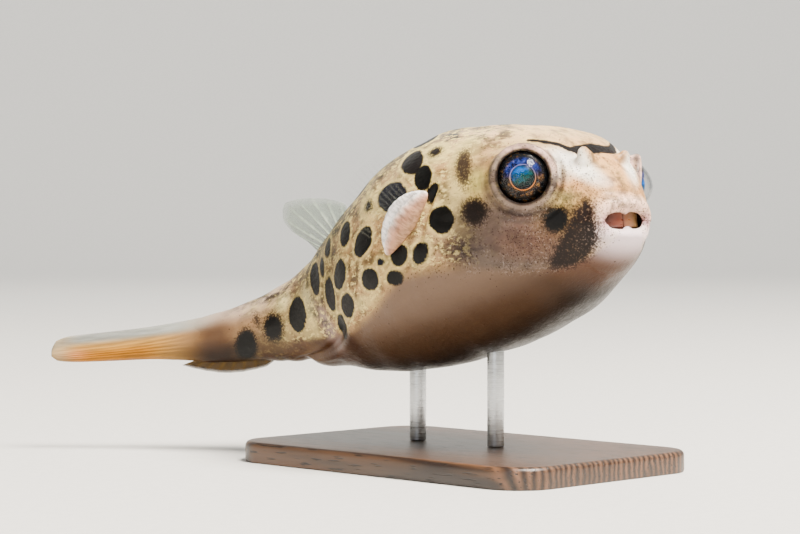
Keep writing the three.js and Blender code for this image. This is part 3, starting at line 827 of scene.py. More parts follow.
# Lines of pigment through (back, round) on the right side's measure, which runs on past 90
# over the midline to the left side, with a half width at each point, then blur and ink: the
# line over the forehead from eye to eye, the thin one before it, and the dotted smudge from the
# corner of the mouth down the cheek, which starts lower on the left side.
FOREHEAD = [
    (6.8, 56, 0.06), (5.7, 60, 0.12), (4.8, 64.6, 0.16), (4.1, 66.7, 0.26), (3.7, 70.2, 0.42),
    (3.6, 81, 0.50), (3.65, 93, 0.50), (3.7, 104, 0.46), (4.0, 112, 0.36), (4.8, 118, 0.24),
    (5.7, 122, 0.14), (6.8, 126, 0.06),
]
SNOUT = [(2.2, 64, 0.05), (2.0, 72, 0.10), (1.7, 82, 0.10), (1.2, 90, 0.09), (0.9, 100, 0.06)]
CHEEK = [
    (1.5, 8, 0.90), (1.7, -6, 1.40), (1.95, -20, 1.75), (2.4, -31, 2.00), (3.0, -37, 2.00),
    (3.8, -39, 1.75), (4.8, -40, 1.20),
]
LINES = [
    (FOREHEAD, 1.1, "line"),
    (SNOUT, 1.4, "thin line"),
    (CHEEK, 3.0, "smudge"),
    ([(back, 180 - turn, wide) for back, turn, wide in CHEEK[2:]], 3.0, "smudge"),
]


def girth(where, side):
    """Degrees up from the widest line on one side, running on over the back to the other."""
    turn = np.degrees(np.arctan2(where[:, 2], side * where[:, 0]))
    return np.where(turn < -90, turn + 360, turn)


def climb(where):
    """Degrees up from the widest line, -90 under the belly to 90 on the back, on either side."""
    turn = girth(where, RIGHT)
    turn = np.minimum(turn, 180 - turn)
    return np.where(turn < -90, -180 - turn, turn)


CRISP = 1.4  # a mark with less blur than this is solid up to its edge


def marks_on(where):
    """For each vertex how deep it lies in the nearest mark, and that mark's ink."""
    reach = np.hypot(where[:, 0], where[:, 2])
    depth = np.full(len(where), -3.0)
    ink = np.zeros((len(where), 4))

    def lay(deep, name, blur):
        """A soft mark is thinner towards its edge; a crisp one is solid."""
        stronger = deep > depth
        code, strength = INKS[name]
        thinned = np.clip((deep[stronger] * blur + 0.4) / (0.4 + 0.45 * blur), 0, 1)
        ink[stronger, :3] = colour(code)[:3]
        ink[stronger, 3] = strength * (1 if blur < CRISP else thinned)
        depth[stronger] = deep[stronger]

    for side, marks in ((RIGHT, RIGHT_MARKS), (LEFT, LEFT_MARKS)):
        turn = girth(where, side)
        for back, round_, long, short, tilt, blur, name in marks:
            along = where[:, 1] - back
            across = np.radians(turn - round_) * reach
            c, s = math.cos(math.radians(tilt)), math.sin(math.radians(tilt))
            e = np.hypot((along * c + across * s) / long, (across * c - along * s) / short)
            lay((1 - e) * math.sqrt(long * short) / blur, name, blur)
    turn = girth(where, RIGHT)
    for stops, blur, name in LINES:
        for (b0, r0, w0), (b1, r1, w1) in zip(stops, stops[1:]):
            run = np.stack([np.full(len(turn), b1 - b0), math.radians(r1 - r0) * reach], 1)
            off = np.stack([where[:, 1] - b0, np.radians(turn - r0) * reach], 1)
            t = np.clip((off * run).sum(1) / np.maximum((run * run).sum(1), 1e-6), 0, 1)
            gap = np.linalg.norm(off - t[:, None] * run, axis=1)
            lay((w0 + (w1 - w0) * t - gap) * 1.5 / blur, name, blur)
    return depth, ink


def airbrush(paint, *coats):
    """Sprays colours over the paint one after another, each where its mask is 1."""
    for mask, code in coats:
        paint = paint + (np.array(colour(code))[:3] - paint) * np.clip(mask, 0, 1)[:, None]
    return paint


def paint_tail(paint, where):
    """The tail's root and the folded fin behind it, milky above and orange below, with painted shade on
    the lower side of the root.
    """
    back = where[:, 1]
    root = between(BODY["back"], BODY["top"], back)
    fin_top = between(TAIL_FIN["back"], TAIL_FIN["top"], back)
    level = where[:, 2] / np.where(back < BODY_LENGTH, root, fin_top)
    stem, fin = smooth(37.5, 44, back), smooth(51, 58, back)
    joint = smooth(47.5, 50, back) * smooth(54.5, 51, back)
    return airbrush(
        paint,
        (stem, "#A08468"),
        (stem * smooth(0.2, 0.9, level), "#B4A496"),
        # painted shade: the lower side of the tail's root darkened, most of all just in front of the fin
        (stem * smooth(0.15, -0.6, level), "#5E4632"),
        (smooth(44.5, 49.5, back) * smooth(0.0, -0.7, level), "#3C260E"),
        (joint * smooth(0.85, 0.2, np.abs(level - 0.05)) * 0.7, "#5C4636"),
        (fin, "#BE9A5C"),
        (smooth(54.5, 59, back) * smooth(0.4, -0.1, level), "#AE7E1C"),
        (smooth(49, 55, back) * smooth(0.35, 0.75, level), "#A9ABA6"),
        (smooth(64.5, 67.2, back) * 0.8, "#B8A88C"),
        (hump(back - 65.2, 1.2) * smooth(0.5, 0.0, np.abs(level)) * 0.5, "#D89E78"),
    )


def paint_rims(paint, where):
    """The bare skin that rims each eye, with a painted highlight above and painted shade below and in the
    folds round it, and where it is.
    """
    rims = np.zeros(len(where))
    for side in (RIGHT, LEFT):
        seen, away = seen_by(side, posed(where))
        near = (seen[:, 2] > 0.2) & (away < 5)
        slanted = seen[:, 1] - side * 0.5 * seen[:, 0]
        rim = near * smooth(3.25, 2.85, away)
        rims[near > 0] = np.maximum(rims, smooth(3.6, 3.0, away))[near > 0]
        paint = airbrush(
            paint,
            # painted shade in the outer fold, deepest below the eye
            (near * hump(away - 3.45, 0.35) * smooth(1.6, -0.6, seen[:, 1]) * 0.75, "#5C4C46"),
            (rim * 0.9, "#A0928A"),
            # painted shade on the lower side of the rim, and a pinkish painted highlight on its upper side
            (rim * smooth(0.2, -1.6, slanted) * 0.5, "#7C6A5C"),
            (rim * smooth(0.8, 2.2, slanted) * 0.75, "#E6C6BA"),
            # painted shade in the thin fold at the rim's outer edge
            (near * hump(away - 3.0, 0.1) * 0.6, "#54443C"),
            (near * smooth(2.62, 2.4, away) * 0.9, "#2A1E1A"),
        )
    return paint, rims


def ground_on(where, settings):
    """The airbrushed ground colour, and how thick the flecks, dots and clouds lie on it."""
    turn = climb(where)
    left, back, high = where.T
    reach = np.hypot(left, high)

    def patch(b, r, long, short, soft=0.8):
        """An oval patch of the airbrush on both sides."""
        d = np.hypot((back - b) / long, np.radians(turn - r) * reach / short)
        return 1 - smooth(1 - soft, 1 + soft, d)

    crown = smooth(30, 60, turn)
    # the line along the flank where the belly's darker ground, deepened with painted shade, starts
    line = np.interp(back, [0, 5, 8, 12, 16, 21.6, 27, 36], [-60, -45, -32, -21, -15, -11, -22, -34])
    above = turn - line
    belly = smooth(3, -5, above) * smooth(43, 37, back)
    cheek = smooth(16.5, 11.5, back) * smooth(24, 6, turn) * smooth(-9, -2, above) * smooth(2.6, 4.6, back)
    rim = np.hypot(left / (MOUTH_HALF_WIDTH + 0.6), (high - MOUTH_HIGH) / 1.5)
    chin = smooth(2.3, 0.9, np.hypot(left / 2.6, (high - MOUTH_HIGH + 0.6) / 1.5))
    inside = (reach < 3.4) * (rim < 1.35)
    corner = hump(np.abs(left) - 2.3, 0.5) * hump(high + 1.1, 0.7)
    paint = airbrush(
        np.tile(np.array(colour(settings.flank_code))[:3], (len(where), 1)),
        (crown * 0.85, settings.crown_code),
        # painted shade: the upper back from behind the gill to the tail's root, and the rear flank towards
        # the tail, darkened
        (smooth(11, 20, back) * smooth(44, 34, back) * smooth(36, 62, turn) * 0.9, "#4C422E"),
        (smooth(25, 35, back) * smooth(47, 40, back) * smooth(-16, 0, turn) * 0.8, "#5E4E30"),
        (cheek * 0.94, "#6E635E"),
        (patch(16.5, 2, 3.0, 2.6) * 0.35, "#B39E86"),
        (belly, settings.belly_code),
        # painted shade: the belly darkens towards its underside and at its front under the head
        (belly * smooth(-18, -52, turn), "#5E4A3A"),
        (belly * smooth(-48, -82, turn) * smooth(0.8, 6.0, back), "#2A1E14"),
        (belly * smooth(7.0, 3.0, back) * 0.45, "#7A5C4C"),
        # the underside of the tail's root behind the belly: its own brown, deepened with painted shadow
        # under the overhanging belly
        (smooth(34, 37, back) * smooth(46, 42, back) * smooth(-8, -40, turn), "#5E4028"),
        (smooth(6.2, 2.8, back) * smooth(-20, 5, turn) * 0.95, "#CCA478"),
        (patch(1.6, 36, 1.8, 1.5) * 0.5, "#CFA070"),
        (patch(3.1, 55, 1.9, 1.1, 0.5), settings.white_code),
        (patch(4.5, 40, 1.5, 0.9, 0.6) * 0.85, "#F0E6D4"),
        (patch(3.6, 15, 1.3, 0.8, 0.7) * 0.8, "#E2D08C"),
        (patch(10.6, 26, 1.6, 1.1, 0.7) * 0.8, "#E9DA8A"),
        (patch(13.6, 22, 1.8, 1.4, 0.7) * 0.5, "#E6D9A4"),
        (patch(9.0, 1, 3.2, 1.6, 0.7) * 0.55, "#7C6862"),
        (patch(12.4, 2, 1.4, 2.2, 0.7) * 0.8, "#524440"),
        (patch(13.8, -9, 1.4, 1.5, 0.7) * 0.75, "#4A3C38"),
        (patch(10.2, -7, 1.6, 1.1, 0.7) * 0.5, "#5A4A46"),
        (patch(6.8, -16, 2.6, 1.5, 0.7) * 0.6, "#765646"),
        (patch(3.4, -28, 2.8, 2.2, 0.7) * 0.55, "#8A6656"),
        (patch(2.3, 4, 1.2, 1.0, 0.8) * 0.5, "#8E7448"),
        (patch(3.7, -5, 1.9, 1.6, 0.5) * 0.45, "#5A4420"),
        (smooth(1.9, 1.1, rim) * smooth(2.6, 1.4, back) * 0.85, "#EFD2C6"),
        (smooth(1.6, 1.0, rim) * smooth(-0.6, -1.8, high) * smooth(2.4, 1.4, back) * 0.8, "#EADDE2"),
        (chin * smooth(4.2, 1.5, back) * smooth(-1.2, -2.2, high) * 0.9, "#E2D4D8"),
        (corner * smooth(2, 1, back) * 0.7, "#B9849A"),
        (inside * smooth(1.0, 1.5, back) * smooth(4.6, 4.2, back), "#6E3A34"),
        (patch(35.9, -22, 1.0, 2.6, 0.7) * 0.8, "#A2908C"),
        # painted shade in the crease where the belly overhangs the tail's root
        (patch(33.6, -34, 0.9, 2.4, 0.8) * 0.8, "#4E3220"),
    )
    paint = airbrush(
        paint_tail(paint, where),
        (patch(41.6, 33, 1.1, 0.9, 0.6) * 0.9, "#EADDAE"),
        (patch(37.6, 10, 1.0, 2.2, 0.6) * 0.5, "#E6DDB4"),
    )
    paint, rims = paint_rims(paint, where)

    flank = smooth(-2, 6, above) * smooth(10, 15, back) * smooth(46, 38, back)
    bare = (1 - belly * 0.95) * smooth(51, 44, back)
    rear = smooth(24, 34, back) * smooth(-10, 20, turn)
    yellow = 0.12 + 0.83 * flank + 0.5 * crown * smooth(4, 9, back)
    yellow = yellow * bare * (1 - cheek * 0.7) * (1 - rear * 0.4)
    silver = cheek * 0.85 + 0.3 * smooth(22, 12, turn) * smooth(20, 14, back) * flank
    lip = smooth(-20, 10, turn) * smooth(-0.9, 0.6, high)
    dots = bare * (
        0.16
        + 0.22 * flank
        + 1.7 * smooth(6.0, 2.5, back) * lip * smooth(62, 40, turn)
        + 0.45 * patch(6.0, -18, 3.2, 2.0, 0.8)
        + 0.9 * patch(3.0, -24, 3.2, 2.6, 0.8)
        + 0.3 * patch(11.0, -12, 4.0, 1.8, 0.8)
    )
    dots = dots + 0.3 * hump(above, 5) * smooth(30, 20, back)
    pale = patch(2.9, 50, 2.6, 1.8, 0.5) + smooth(2.2, 1.3, back) * smooth(0, -1, high)
    peppered = smooth(6.5, 3, back) * lip
    cloud = 0.35 + 0.9 * crown * smooth(5, 10, back) + 0.65 * flank + 0.9 * peppered
    cloud = cloud * (1 - belly * 0.85) * (1 - 0.8 * np.clip(pale, 0, 1))
    cloud = np.maximum(cloud, 0.75 * rims) * smooth(51, 44, back)
    return np.column_stack([paint, np.ones(len(where))]), np.column_stack([yellow, silver, dots]), cloud


# ------------------------------------------------------------------ settings


def hex_code(name, description, default):
    """A setting for a colour, written as its sRGB hex code."""
    return bpy.props.StringProperty(name=name, description=description + ", sRGB hex", default=default)


def share(name, description, default):
    """A setting between 0 and 1."""
    return bpy.props.FloatProperty(name=name, description=description, default=default, min=0, max=1)


class SkinSettings(bpy.types.PropertyGroup):
    """What a maker might change about the skin."""

    voxel: bpy.props.FloatProperty(
        name="Grid",
        description="Spacing of the skin's mesh in millimetres",
        default=0.25,
        min=0.15,
        max=0.6,
    )
    flank_code: hex_code("Flank", "Ground colour of the flank", "#B89A70")
    crown_code: hex_code("Crown", "Ground colour of the back and crown", "#DCC29C")
    belly_code: hex_code("Belly", "Ground colour of the belly", "#8C7868")
    white_code: hex_code("White patch", "Colour of the patch in front of each eye", "#F7F2E9")
    fleck_code: hex_code("Flecks", "Colour of the yellow flecks", "#EADA9E")


class EyeSettings(bpy.types.PropertyGroup):
    """What a maker might change about the eyes."""

    # strength of the eyes' painted glow
    glow: share("Inner glow", "Light that the pupil gives back from inside", 0.06)
    cornea: share("Cornea", "How solid the clear cornea looks", 0.07)
    sheen: bpy.props.FloatVectorProperty(
        name="Sheen",
        description="Where the pupil turns bright blue: across, up and out",
        default=(-0.22, 0.36, 0),
    )


class FinSettings(bpy.types.PropertyGroup):
    """What a maker might change about the fins."""

    dorsal_opacity: share("Dorsal film", "How solid the film of the dorsal fin is", 0.42)
    pectoral_opacity: share("Pectoral film", "How solid the film of the paired fins is", 0.012)


class StandSettings(bpy.types.PropertyGroup):
    """What a maker might change about the stand."""

    corner: bpy.props.FloatProperty(
        name="Corner radius", description="Of the base seen from above", default=4 * MM, unit="LENGTH"
    )
    edge: bpy.props.FloatProperty(
        name="Edge radius", description="Of the upper edge of the base", default=0.5 * MM, unit="LENGTH"
    )
    wood_code: hex_code("Wood", "Main colour of the stained wood", "#46301F")


class StageSettings(bpy.types.PropertyGroup):
    """What a maker might change about the studio."""

    paper_code: hex_code("Backdrop", "Colour of the backdrop paper", "#D9D8D4")
    key: bpy.props.FloatProperty(
        name="Key light", description="Power of the soft light above the face", default=18.5, unit="POWER"
    )
    fill: bpy.props.FloatProperty(
        name="Fill light", description="Power of the light beside the camera", default=0.8, unit="POWER"
    )
    lens: bpy.props.FloatProperty(
        name="Lens", description="Focal length of the camera in millimetres", default=100, unit="CAMERA"
    )


# ------------------------------------------------------------------ the skin


def lips():
    """The two lips, one closed fold round the mouth. The lower lip is the thicker."""
    piece = ring("lips", 1, LIP, 96, 24)
    co = points(piece)
    angle = np.arctan2(co[:, 1], co[:, 0])
    out = np.hypot(co[:, 0], co[:, 1]) - 1
    full = 1.05 - 0.25 * np.sin(angle)
    left = (MOUTH_HALF_WIDTH + 0.35 + out * full) * np.cos(angle)
    high = MOUTH_HIGH + (MOUTH_HALF_HEIGHT + 0.35 + out * full) * np.sin(angle)
    fall = 0.13 * left**2 + 0.1 * (high - MOUTH_HIGH) ** 2
    set_points(piece, posed(np.stack([left, 0.35 - co[:, 2] * full + fall, high], 1)))
    return close_up(piece)


def mouth_block(name, size, back, radius):
    """A rounded block behind the opening of the mouth, to be cut out of the head."""
    piece = block(name, size, radius, 5)
    centre = (0, back, MOUTH_HIGH)
    set_points(piece, posed(points(piece) + np.array(centre)))
    return close_up(piece)


def nostril(side):
    """The soft forked flap of a nostril: a cone drawn up from a broad foot to two low tips."""
    piece = sphere("nostril", 1, 28, 22)
    p = points(piece)
    rise = (p[:, 2] + 1) / 2
    height = 2.45 if side == RIGHT else 2.05
    width = 1.1 - 0.42 * smooth(0.3, 0.8, rise)
    fork = 0.14 * hump(p[:, 0], 0.25) * smooth(0.75, 1.0, rise)
    set_points(piece, np.stack([p[:, 0] * width, p[:, 1] * width * 0.6, -0.9 + rise * height - fork], 1))
    lean = Matrix.Rotation(0.35, 4, "X") @ Matrix.Rotation(side * 0.5, 4, "Y")
    matrix = frame_at(side * 2.1, 2.7, height_at(2.7, 2.1)) @ lean
    return close_up(place(piece, matrix))


def orbit(side):
    """The skin over the eye's socket: a cup, the fold that rims it and the swelling behind."""
    at_eye = eye_frame(side)
    cup = place(sphere("cup", EYE_RADIUS + 0.32, 64, 40), at_eye)
    fold = ring("fold", LID_OPENING + LID * 0.7, LID, 72, 18)
    place(fold, at_eye @ Matrix.Translation((0, 0, LID_FOLD)))
    swelling = sphere("swelling", 1, 48, 32)
    set_points(swelling, points(swelling) * (3.3, 4.8, 3.5))
    place(swelling, frame_at(side * (EYE_OUT[RIGHT] - 0.2), EYE_BACK + 2.4, EYE_HIGH[side] - 0.4))
    return [cup, fold, swelling]


def socket(side):
    """The hollow that the eyeball lies in, with its round window."""
    at_eye = eye_frame(side)
    hollow = place(sphere("hollow", EYE_RADIUS + 0.12, 64, 40), at_eye)
    window = cylinder("window", LID_OPENING - 0.02, EYE_RADIUS * 2, (0, 0, EYE_RADIUS))
    return combine(hollow, place(window, at_eye), "UNION")


def sculpt(piece):
    """Raises and sinks the fine forms: the crease at the belly's end, the gill slit, the
    wrinkles round the fin, a fold under the chin, the fold round the eye and the lips."""
    co = points(piece)
    where = straightened(co)
    out = normals(piece)
    turn = climb(where)
    left, back, high = where.T
    lift = np.zeros(len(co))
    # the crease where the full belly overhangs the root of the tail
    line = 33.6 + np.clip(-26 - turn, 0, 40) * 0.2
    below = smooth(-12, -30, turn)
    lift -= 0.34 * below * hump(back - line, 0.7)
    lift += 0.22 * below * hump(back - line + 1.9, 1.3)
    lift -= 0.08 * below * hump(back - line - 2.2, 0.5)
    # the gill slit, close in front of the paired fin
    off = np.radians(turn - 14) * np.hypot(left, high)
    slit = 16.6 - off * 0.55
    open_ = smooth(-1, 4, turn) * smooth(31, 26, turn)
    lift -= 0.45 * open_ * hump(back - slit, 0.28)
    lift += 0.16 * open_ * hump(back - slit + 0.75, 0.5)
    # folds that fan out behind and below the fin, and under the chin
    fan = np.sin(np.arctan2(off, back - 18.5) * 22)
    near = hump(np.hypot(back - 18.5, off) - 5.2, 1.6)
    lift += 0.035 * fan * near * smooth(40, 20, turn)
    lift -= 0.10 * smooth(-46, -60, turn) * hump(back - 5.0, 1.6)
    # the eye's outer fold
    for side in (RIGHT, LEFT):
        seen, away = seen_by(side, co)
        near = (seen[:, 2] > 0.2) & (away > 2.7) & (away < 4.6)
        lower = 0.45 + 0.55 * smooth(1.5, -1.5, seen[:, 1])
        lift -= 0.22 * near * lower * hump(away - 3.35, 0.24)
        lift -= 0.10 * near * lower * hump(away - 4.1, 0.2)
    # slow unevenness of living flesh
    lift += 0.06 * np.sin(back * 1.1 + 0.6) * np.sin(np.radians(turn) * 5 + back * 0.4)
    # the lips: a full roll round the opening with a crease outside it
    above = high - MOUTH_HIGH
    wide = np.maximum(np.abs(left) - MOUTH_HALF_WIDTH + 0.5, 0)
    tall = np.maximum(np.abs(above) - MOUTH_HALF_HEIGHT + 0.5, 0)
    away = np.hypot(wide, tall) - 0.5
    front = smooth(4.0, 2.2, back)
    lift[front > 0.5] *= 0.3
    upper = smooth(-1.6, 0, high)
    lift += (0.20 + 0.08 * upper) * front * hump(away - 0.75, 0.45)
    lift -= 0.10 * front * hump(away - 1.8, 0.4) * smooth(-3.6, -2.6, high)
    lift[(away < 0.03) & (back < 4.6)] = 0
    moved = co + out * lift[:, None]
    # the edge of the opening is rolled inwards
    rolled = front * hump(np.maximum(away, 0), 0.3) * smooth(1.6, 0.9, back) * (away < 1.2)
    moved -= directions(0)[0] * 0.3 * rolled[:, None]
    # the corners draw in, and the lips have a small notch in the middle
    lips_only = smooth(3.0, 1.6, back) * hump(np.abs(above) - 0.6, 0.7)
    drawn = -np.sign(above) * 0.26 * smooth(0.8, 2.3, np.abs(left)) * lips_only
    middle = hump(left, 0.22) * smooth(1.8, 1.0, back)
    drawn -= 0.2 * middle * hump(above - 0.75, 0.35)
    drawn += 0.24 * middle * hump(above + 0.75, 0.35)
    set_points(piece, moved + directions(0)[2] * drawn[:, None])


FINE = 0.16  # spacing of the first mesh, a little finer than the one that is kept
HEAD_END = 11.5  # the mesh is twice as fine in front of this


class PUFFER_OT_skin(bpy.types.Operator):
    """Builds the one seamless skin of head, trunk and tail, with its pattern"""

    bl_idname = "puffer.skin"
    bl_label = "Skin"
    bl_options = {"REGISTER", "UNDO"}

    def execute(self, context):
        settings = context.scene.puffer_skin
        # the skin ends inside the root of the tail fin
        body = tube("fish_skin", {key: BODY[key] + [end] for key, end in SKIN_END.items()}, 200, 196)
        set_points(body, posed(points(body)))
        folds = [lips()]
        for side in (RIGHT, LEFT):
            folds += orbit(side) + [nostril(side)]
        body = join([body] + folds, "fish_skin")
        # one surface over all the forms
        modify(body, "REMESH", mode="VOXEL", voxel_size=FINE)
        for side in (RIGHT, LEFT):
            combine(body, socket(side), "DIFFERENCE")
        opening = (2 * MOUTH_HALF_WIDTH, 4.4, 2 * MOUTH_HALF_HEIGHT)
        slot = mouth_block("slot", opening, 1, 0.5)
        cavity = mouth_block("cavity", (4.8, 3.4, 3.0), 2.2, 0.6)
        for hollow in (slot, cavity):
            combine(body, hollow, "DIFFERENCE")
        form = body.copy()
        form.data = body.data.copy()
        context.scene.collection.objects.link(form)
        modify(body, "REMESH", mode="VOXEL", voxel_size=settings.voxel)
        grab(body)
        chosen = straightened(points(body))[:, 1] < HEAD_END
        bpy.ops.object.mode_set(mode="EDIT")
        bpy.ops.mesh.select_mode(type="VERT")
        bpy.ops.mesh.select_all(action="DESELECT")
        bpy.ops.object.mode_set(mode="OBJECT")
        body.data.vertices.foreach_set("select", chosen)
        bpy.ops.object.mode_set(mode="EDIT")
        bpy.ops.mesh.select_mode(type="FACE")
        bpy.ops.mesh.subdivide(number_cuts=1)
        bpy.ops.object.mode_set(mode="OBJECT")
        modify(body, "SHRINKWRAP", target=form, wrap_method="NEAREST_SURFACEPOINT")
        bpy.data.objects.remove(form)
        modify(body, "SMOOTH", factor=0.5, iterations=4)
        sculpt(body)
        modify(body, "SMOOTH", factor=0.4, iterations=1)
        co = points(body)
        where = straightened(co)
        depth, ink = marks_on(where)
        ground, cover, cloud = ground_on(where, settings)
        store(body, "straight", where, "FLOAT_VECTOR")
        store(body, "mark", depth)
        store(body, "ink", ink, "FLOAT_COLOR")
        store(body, "ground", ground, "FLOAT_COLOR")
        store(body, "cover", cover, "FLOAT_VECTOR")
        store(body, "cloud", cloud)
        settle(body, scaleless_wet_skin(settings), "skin", "head", "trunk", "tail")
        return {"FINISHED"}


# ------------------------------------------------------------------ eyes

# Half a section of the eyeball as (radius, depth along the line of sight): the lens in the
# pupil, the rim of the iris, the iris falling away to the limbus, then the ball.
EYEBALL = [
    (0, 2.16), (0.35, 2.14), (0.66, 2.06), (0.88, 1.96), (1.01, 1.87), (1.05, 1.81), (1.09, 1.84),
    (1.18, 1.87), (1.32, 1.85), (1.55, 1.78), (1.8, 1.67), (2.05, 1.50), (2.22, 1.34), (2.33, 1.14),
    (2.42, 0.92), (2.52, 0.5), (2.55, 0.0), (2.45, -0.75), (2.1, -1.45), (1.5, -2.06), (0.8, -2.42),
    (0, -2.55),
]
CORNEA = [
    (0, 2.9), (0.5, 2.84), (1.0, 2.65), (1.5, 2.30), (1.9, 1.90), (2.2, 1.46), (2.38, 1.04),
    (2.36, 0.98), (2.28, 1.05), (2.12, 1.42), (1.84, 1.82), (1.45, 2.20), (0.97, 2.55), (0.5, 2.73),
    (0, 2.79),
]


def curve_at(stops, t):
    """A point on a smooth line through stops, for t from 0 to 1."""
    stops = np.asarray(stops, float)
    run = np.concatenate([[0], np.cumsum(np.linalg.norm(np.diff(stops, axis=0), axis=1))])
    return np.stack([between(run / run[-1], stops[:, k], t) for k in range(stops.shape[1])], -1)


def turned(name, section, around, along):
    """A ball whose rings are moved onto a drawn half section, as on a lathe."""
    piece = sphere(name, 1, around, along)
    p = points(piece)
    radius, depth = curve_at(section, np.arccos(np.clip(p[:, 2], -1, 1)) / math.pi).T
    radius = np.where(np.hypot(p[:, 0], p[:, 1]) < 1e-5, 0, np.maximum(radius, 0))
    angle = np.arctan2(p[:, 1], p[:, 0])
    set_points(piece, np.stack([radius * np.cos(angle), radius * np.sin(angle), depth], 1))
    return close_up(piece)


class PUFFER_OT_eyes(bpy.types.Operator):
    """Builds each eye: the ball with its iris and pupil, and the clear cornea over it"""

    bl_idname = "puffer.eyes"
    bl_label = "Eyes"
    bl_options = {"REGISTER", "UNDO"}

    def execute(self, context):
        settings = context.scene.puffer_eyes
        iris, clear = fish_iris(settings), clear_cornea(settings)
        for side in (RIGHT, LEFT):
            name = SIDE_NAMES[side]
            ball = turned(f"eyeball_{name}", EYEBALL, 96, 90)
            shell = turned(f"cornea_{name}", CORNEA, 72, 60)
            for piece in (ball, shell):
                store(piece, "gaze", points(piece), "FLOAT_VECTOR")
                place(piece, eye_frame(side, *GAZE[side]))
            settle(ball, iris, "eye", f"eye_{name}")
            settle(shell, clear, "eye")
        return {"FINISHED"}


# ------------------------------------------------------------------ beak


ARCH = 3.3  # radius of the arch of the jaws
BEAK_BACK = 1.02  # of the beak's front behind the tip of the snout


class PUFFER_OT_beak(bpy.types.Operator):
    """Builds the four fused plates of the beak, a left and a right one in each jaw"""

    bl_idname = "puffer.beak"
    bl_label = "Beak"
    bl_options = {"REGISTER", "UNDO"}

    def execute(self, context):
        enamel = beak_enamel()
        # the lower and the upper edge of each jaw's plates, from the middle of the mouth
        for jaw, low, high in (("upper", -0.58, 1.2), ("lower", -1.2, -0.66)):
            middle = MOUTH_HIGH + (low + high) / 2
            halves = []
            for side in (RIGHT, LEFT):
                half = block("half", (2.5, 0.5, high - low), 0.16, 4, cuts=3)
                p = points(half)
                # bent round the arch of the jaw, and a little fuller in front
                bulge = 0.10 * np.cos(np.clip(p[:, 0], -1, 1) * math.pi / 2)
                around = (p[:, 0] + side * 1.27) / 3.35
                radius = ARCH - p[:, 1] + bulge * (p[:, 1] < 0)
                left = radius * np.sin(around)
                back = BEAK_BACK + ARCH - radius * np.cos(around)
                set_points(half, np.stack([left, back, p[:, 2] + middle], 1))
                halves.append(half)
            plate = close_up(join(halves, f"{jaw}_beak"), 1e-5)
            store(plate, "straight", points(plate), "FLOAT_VECTOR")
            set_points(plate, posed(points(plate)))
            settle(plate, enamel, "tooth", f"{jaw}_teeth")
        return {"FINISHED"}


# ------------------------------------------------------------------ fins


def scallop(ridge):
    """How far out the edge is: rays run a little past the film between them."""
    return 0.965 + 0.035 * ridge


def film(name, rays, rows, shape, thin, thick):
    """A fin's film with its rays: a grid bent to a shape in (across, out), each 0 to 1, and
    given a thickness that swells along each ray and fades towards its tip."""
    deselect()
    bpy.ops.mesh.primitive_grid_add(x_subdivisions=(rays - 1) * 8, y_subdivisions=rows, size=2)
    piece = named(name)
    flat = (points(piece)[:, :2] + 1) / 2
    phase = flat[:, 0] * (rays - 1)
    ridge = hump(phase - np.round(phase), 0.16) * (1 - 0.75 * flat[:, 1])
    set_points(piece, shape(flat[:, 0], flat[:, 1], ridge))
    group = piece.vertex_groups.new(name="rays")
    for index, value in enumerate(ridge):
        group.add([index], float(value), "REPLACE")
    store(piece, "ray", ridge)
    store(piece, "reach", flat[:, 1])
    close_up(piece, 1e-5)
    swelling = {"vertex_group": "rays", "thickness_vertex_group": thin / thick}
    return modify(piece, "SOLIDIFY", thickness=thick, offset=0.0, use_even_offset=False, **swelling)


# each upright fin's root and edge as (back, high)
DORSAL_ROOT = [(33.4, 6.4), (34.4, 6.2), (35.6, 5.6), (36.8, 5.0)]
DORSAL_EDGE = [
    (33.0, 7.9), (32.8, 8.9), (33.7, 9.9), (35.3, 10.8), (37.5, 11.5), (39.2, 11.7),
    (40.3, 11.1), (40.6, 10.0), (40.0, 8.8), (38.8, 7.6), (37.7, 6.3),
]
ANAL_ROOT = [(45.4, -2.3), (48.0, -2.0), (50.5, -1.8), (52.4, -1.7)]
ANAL_EDGE = [
    (45.0, -3.2), (46.6, -3.8), (48.5, -3.85), (50.2, -3.7), (52.0, -3.25), (53.6, -2.7), (54.8, -2.2),
]


class PUFFER_OT_upright_fins(bpy.types.Operator):
    """Builds the dorsal and the anal fin, each a film on a fan of rays"""

    bl_idname = "puffer.upright_fins"
    bl_label = "Dorsal and anal fins"
    bl_options = {"REGISTER", "UNDO"}

    def execute(self, context):
        settings = context.scene.puffer_fins
        # the web's colour, the rays' colour, and how solid each of them is
        pale = ("#93A294", "#D2DACE", settings.dorsal_opacity, 0.75)
        golden = ("#66522E", "#7C663A", 0.9, 1.0)
        kinds = (
            ("dorsal", DORSAL_ROOT, DORSAL_EDGE, 10, "fin", pale),
            ("anal", ANAL_ROOT, ANAL_EDGE, 9, "tail_fin", golden),
        )
        for name, root, edge, rays, slot, tints in kinds:

            def shape(across, out, ridge, root=root, edge=edge, name=name):
                low, high = curve_at(root, across), curve_at(edge, across)
                flat = low + (high - low) * (out * scallop(ridge))[:, None]
                if name == "dorsal":
                    sway = 0.24 * np.sin(across * 9 + 0.5) * out**1.5
                else:
                    sway = 0.1 * np.sin(across * 7)
                return np.stack([sway, flat[:, 0], flat[:, 1]], 1)

            piece = film(f"{name}_film", rays, 26, shape, 0.08, 0.3)
            store(piece, "straight", points(piece), "FLOAT_VECTOR")
            set_points(piece, posed(points(piece)))
            close_up(piece, 1e-5)
            settle(piece, fin_membrane(f"{name}_fin_membrane", *tints), slot, f"{name}_fin")
        return {"FINISHED"}


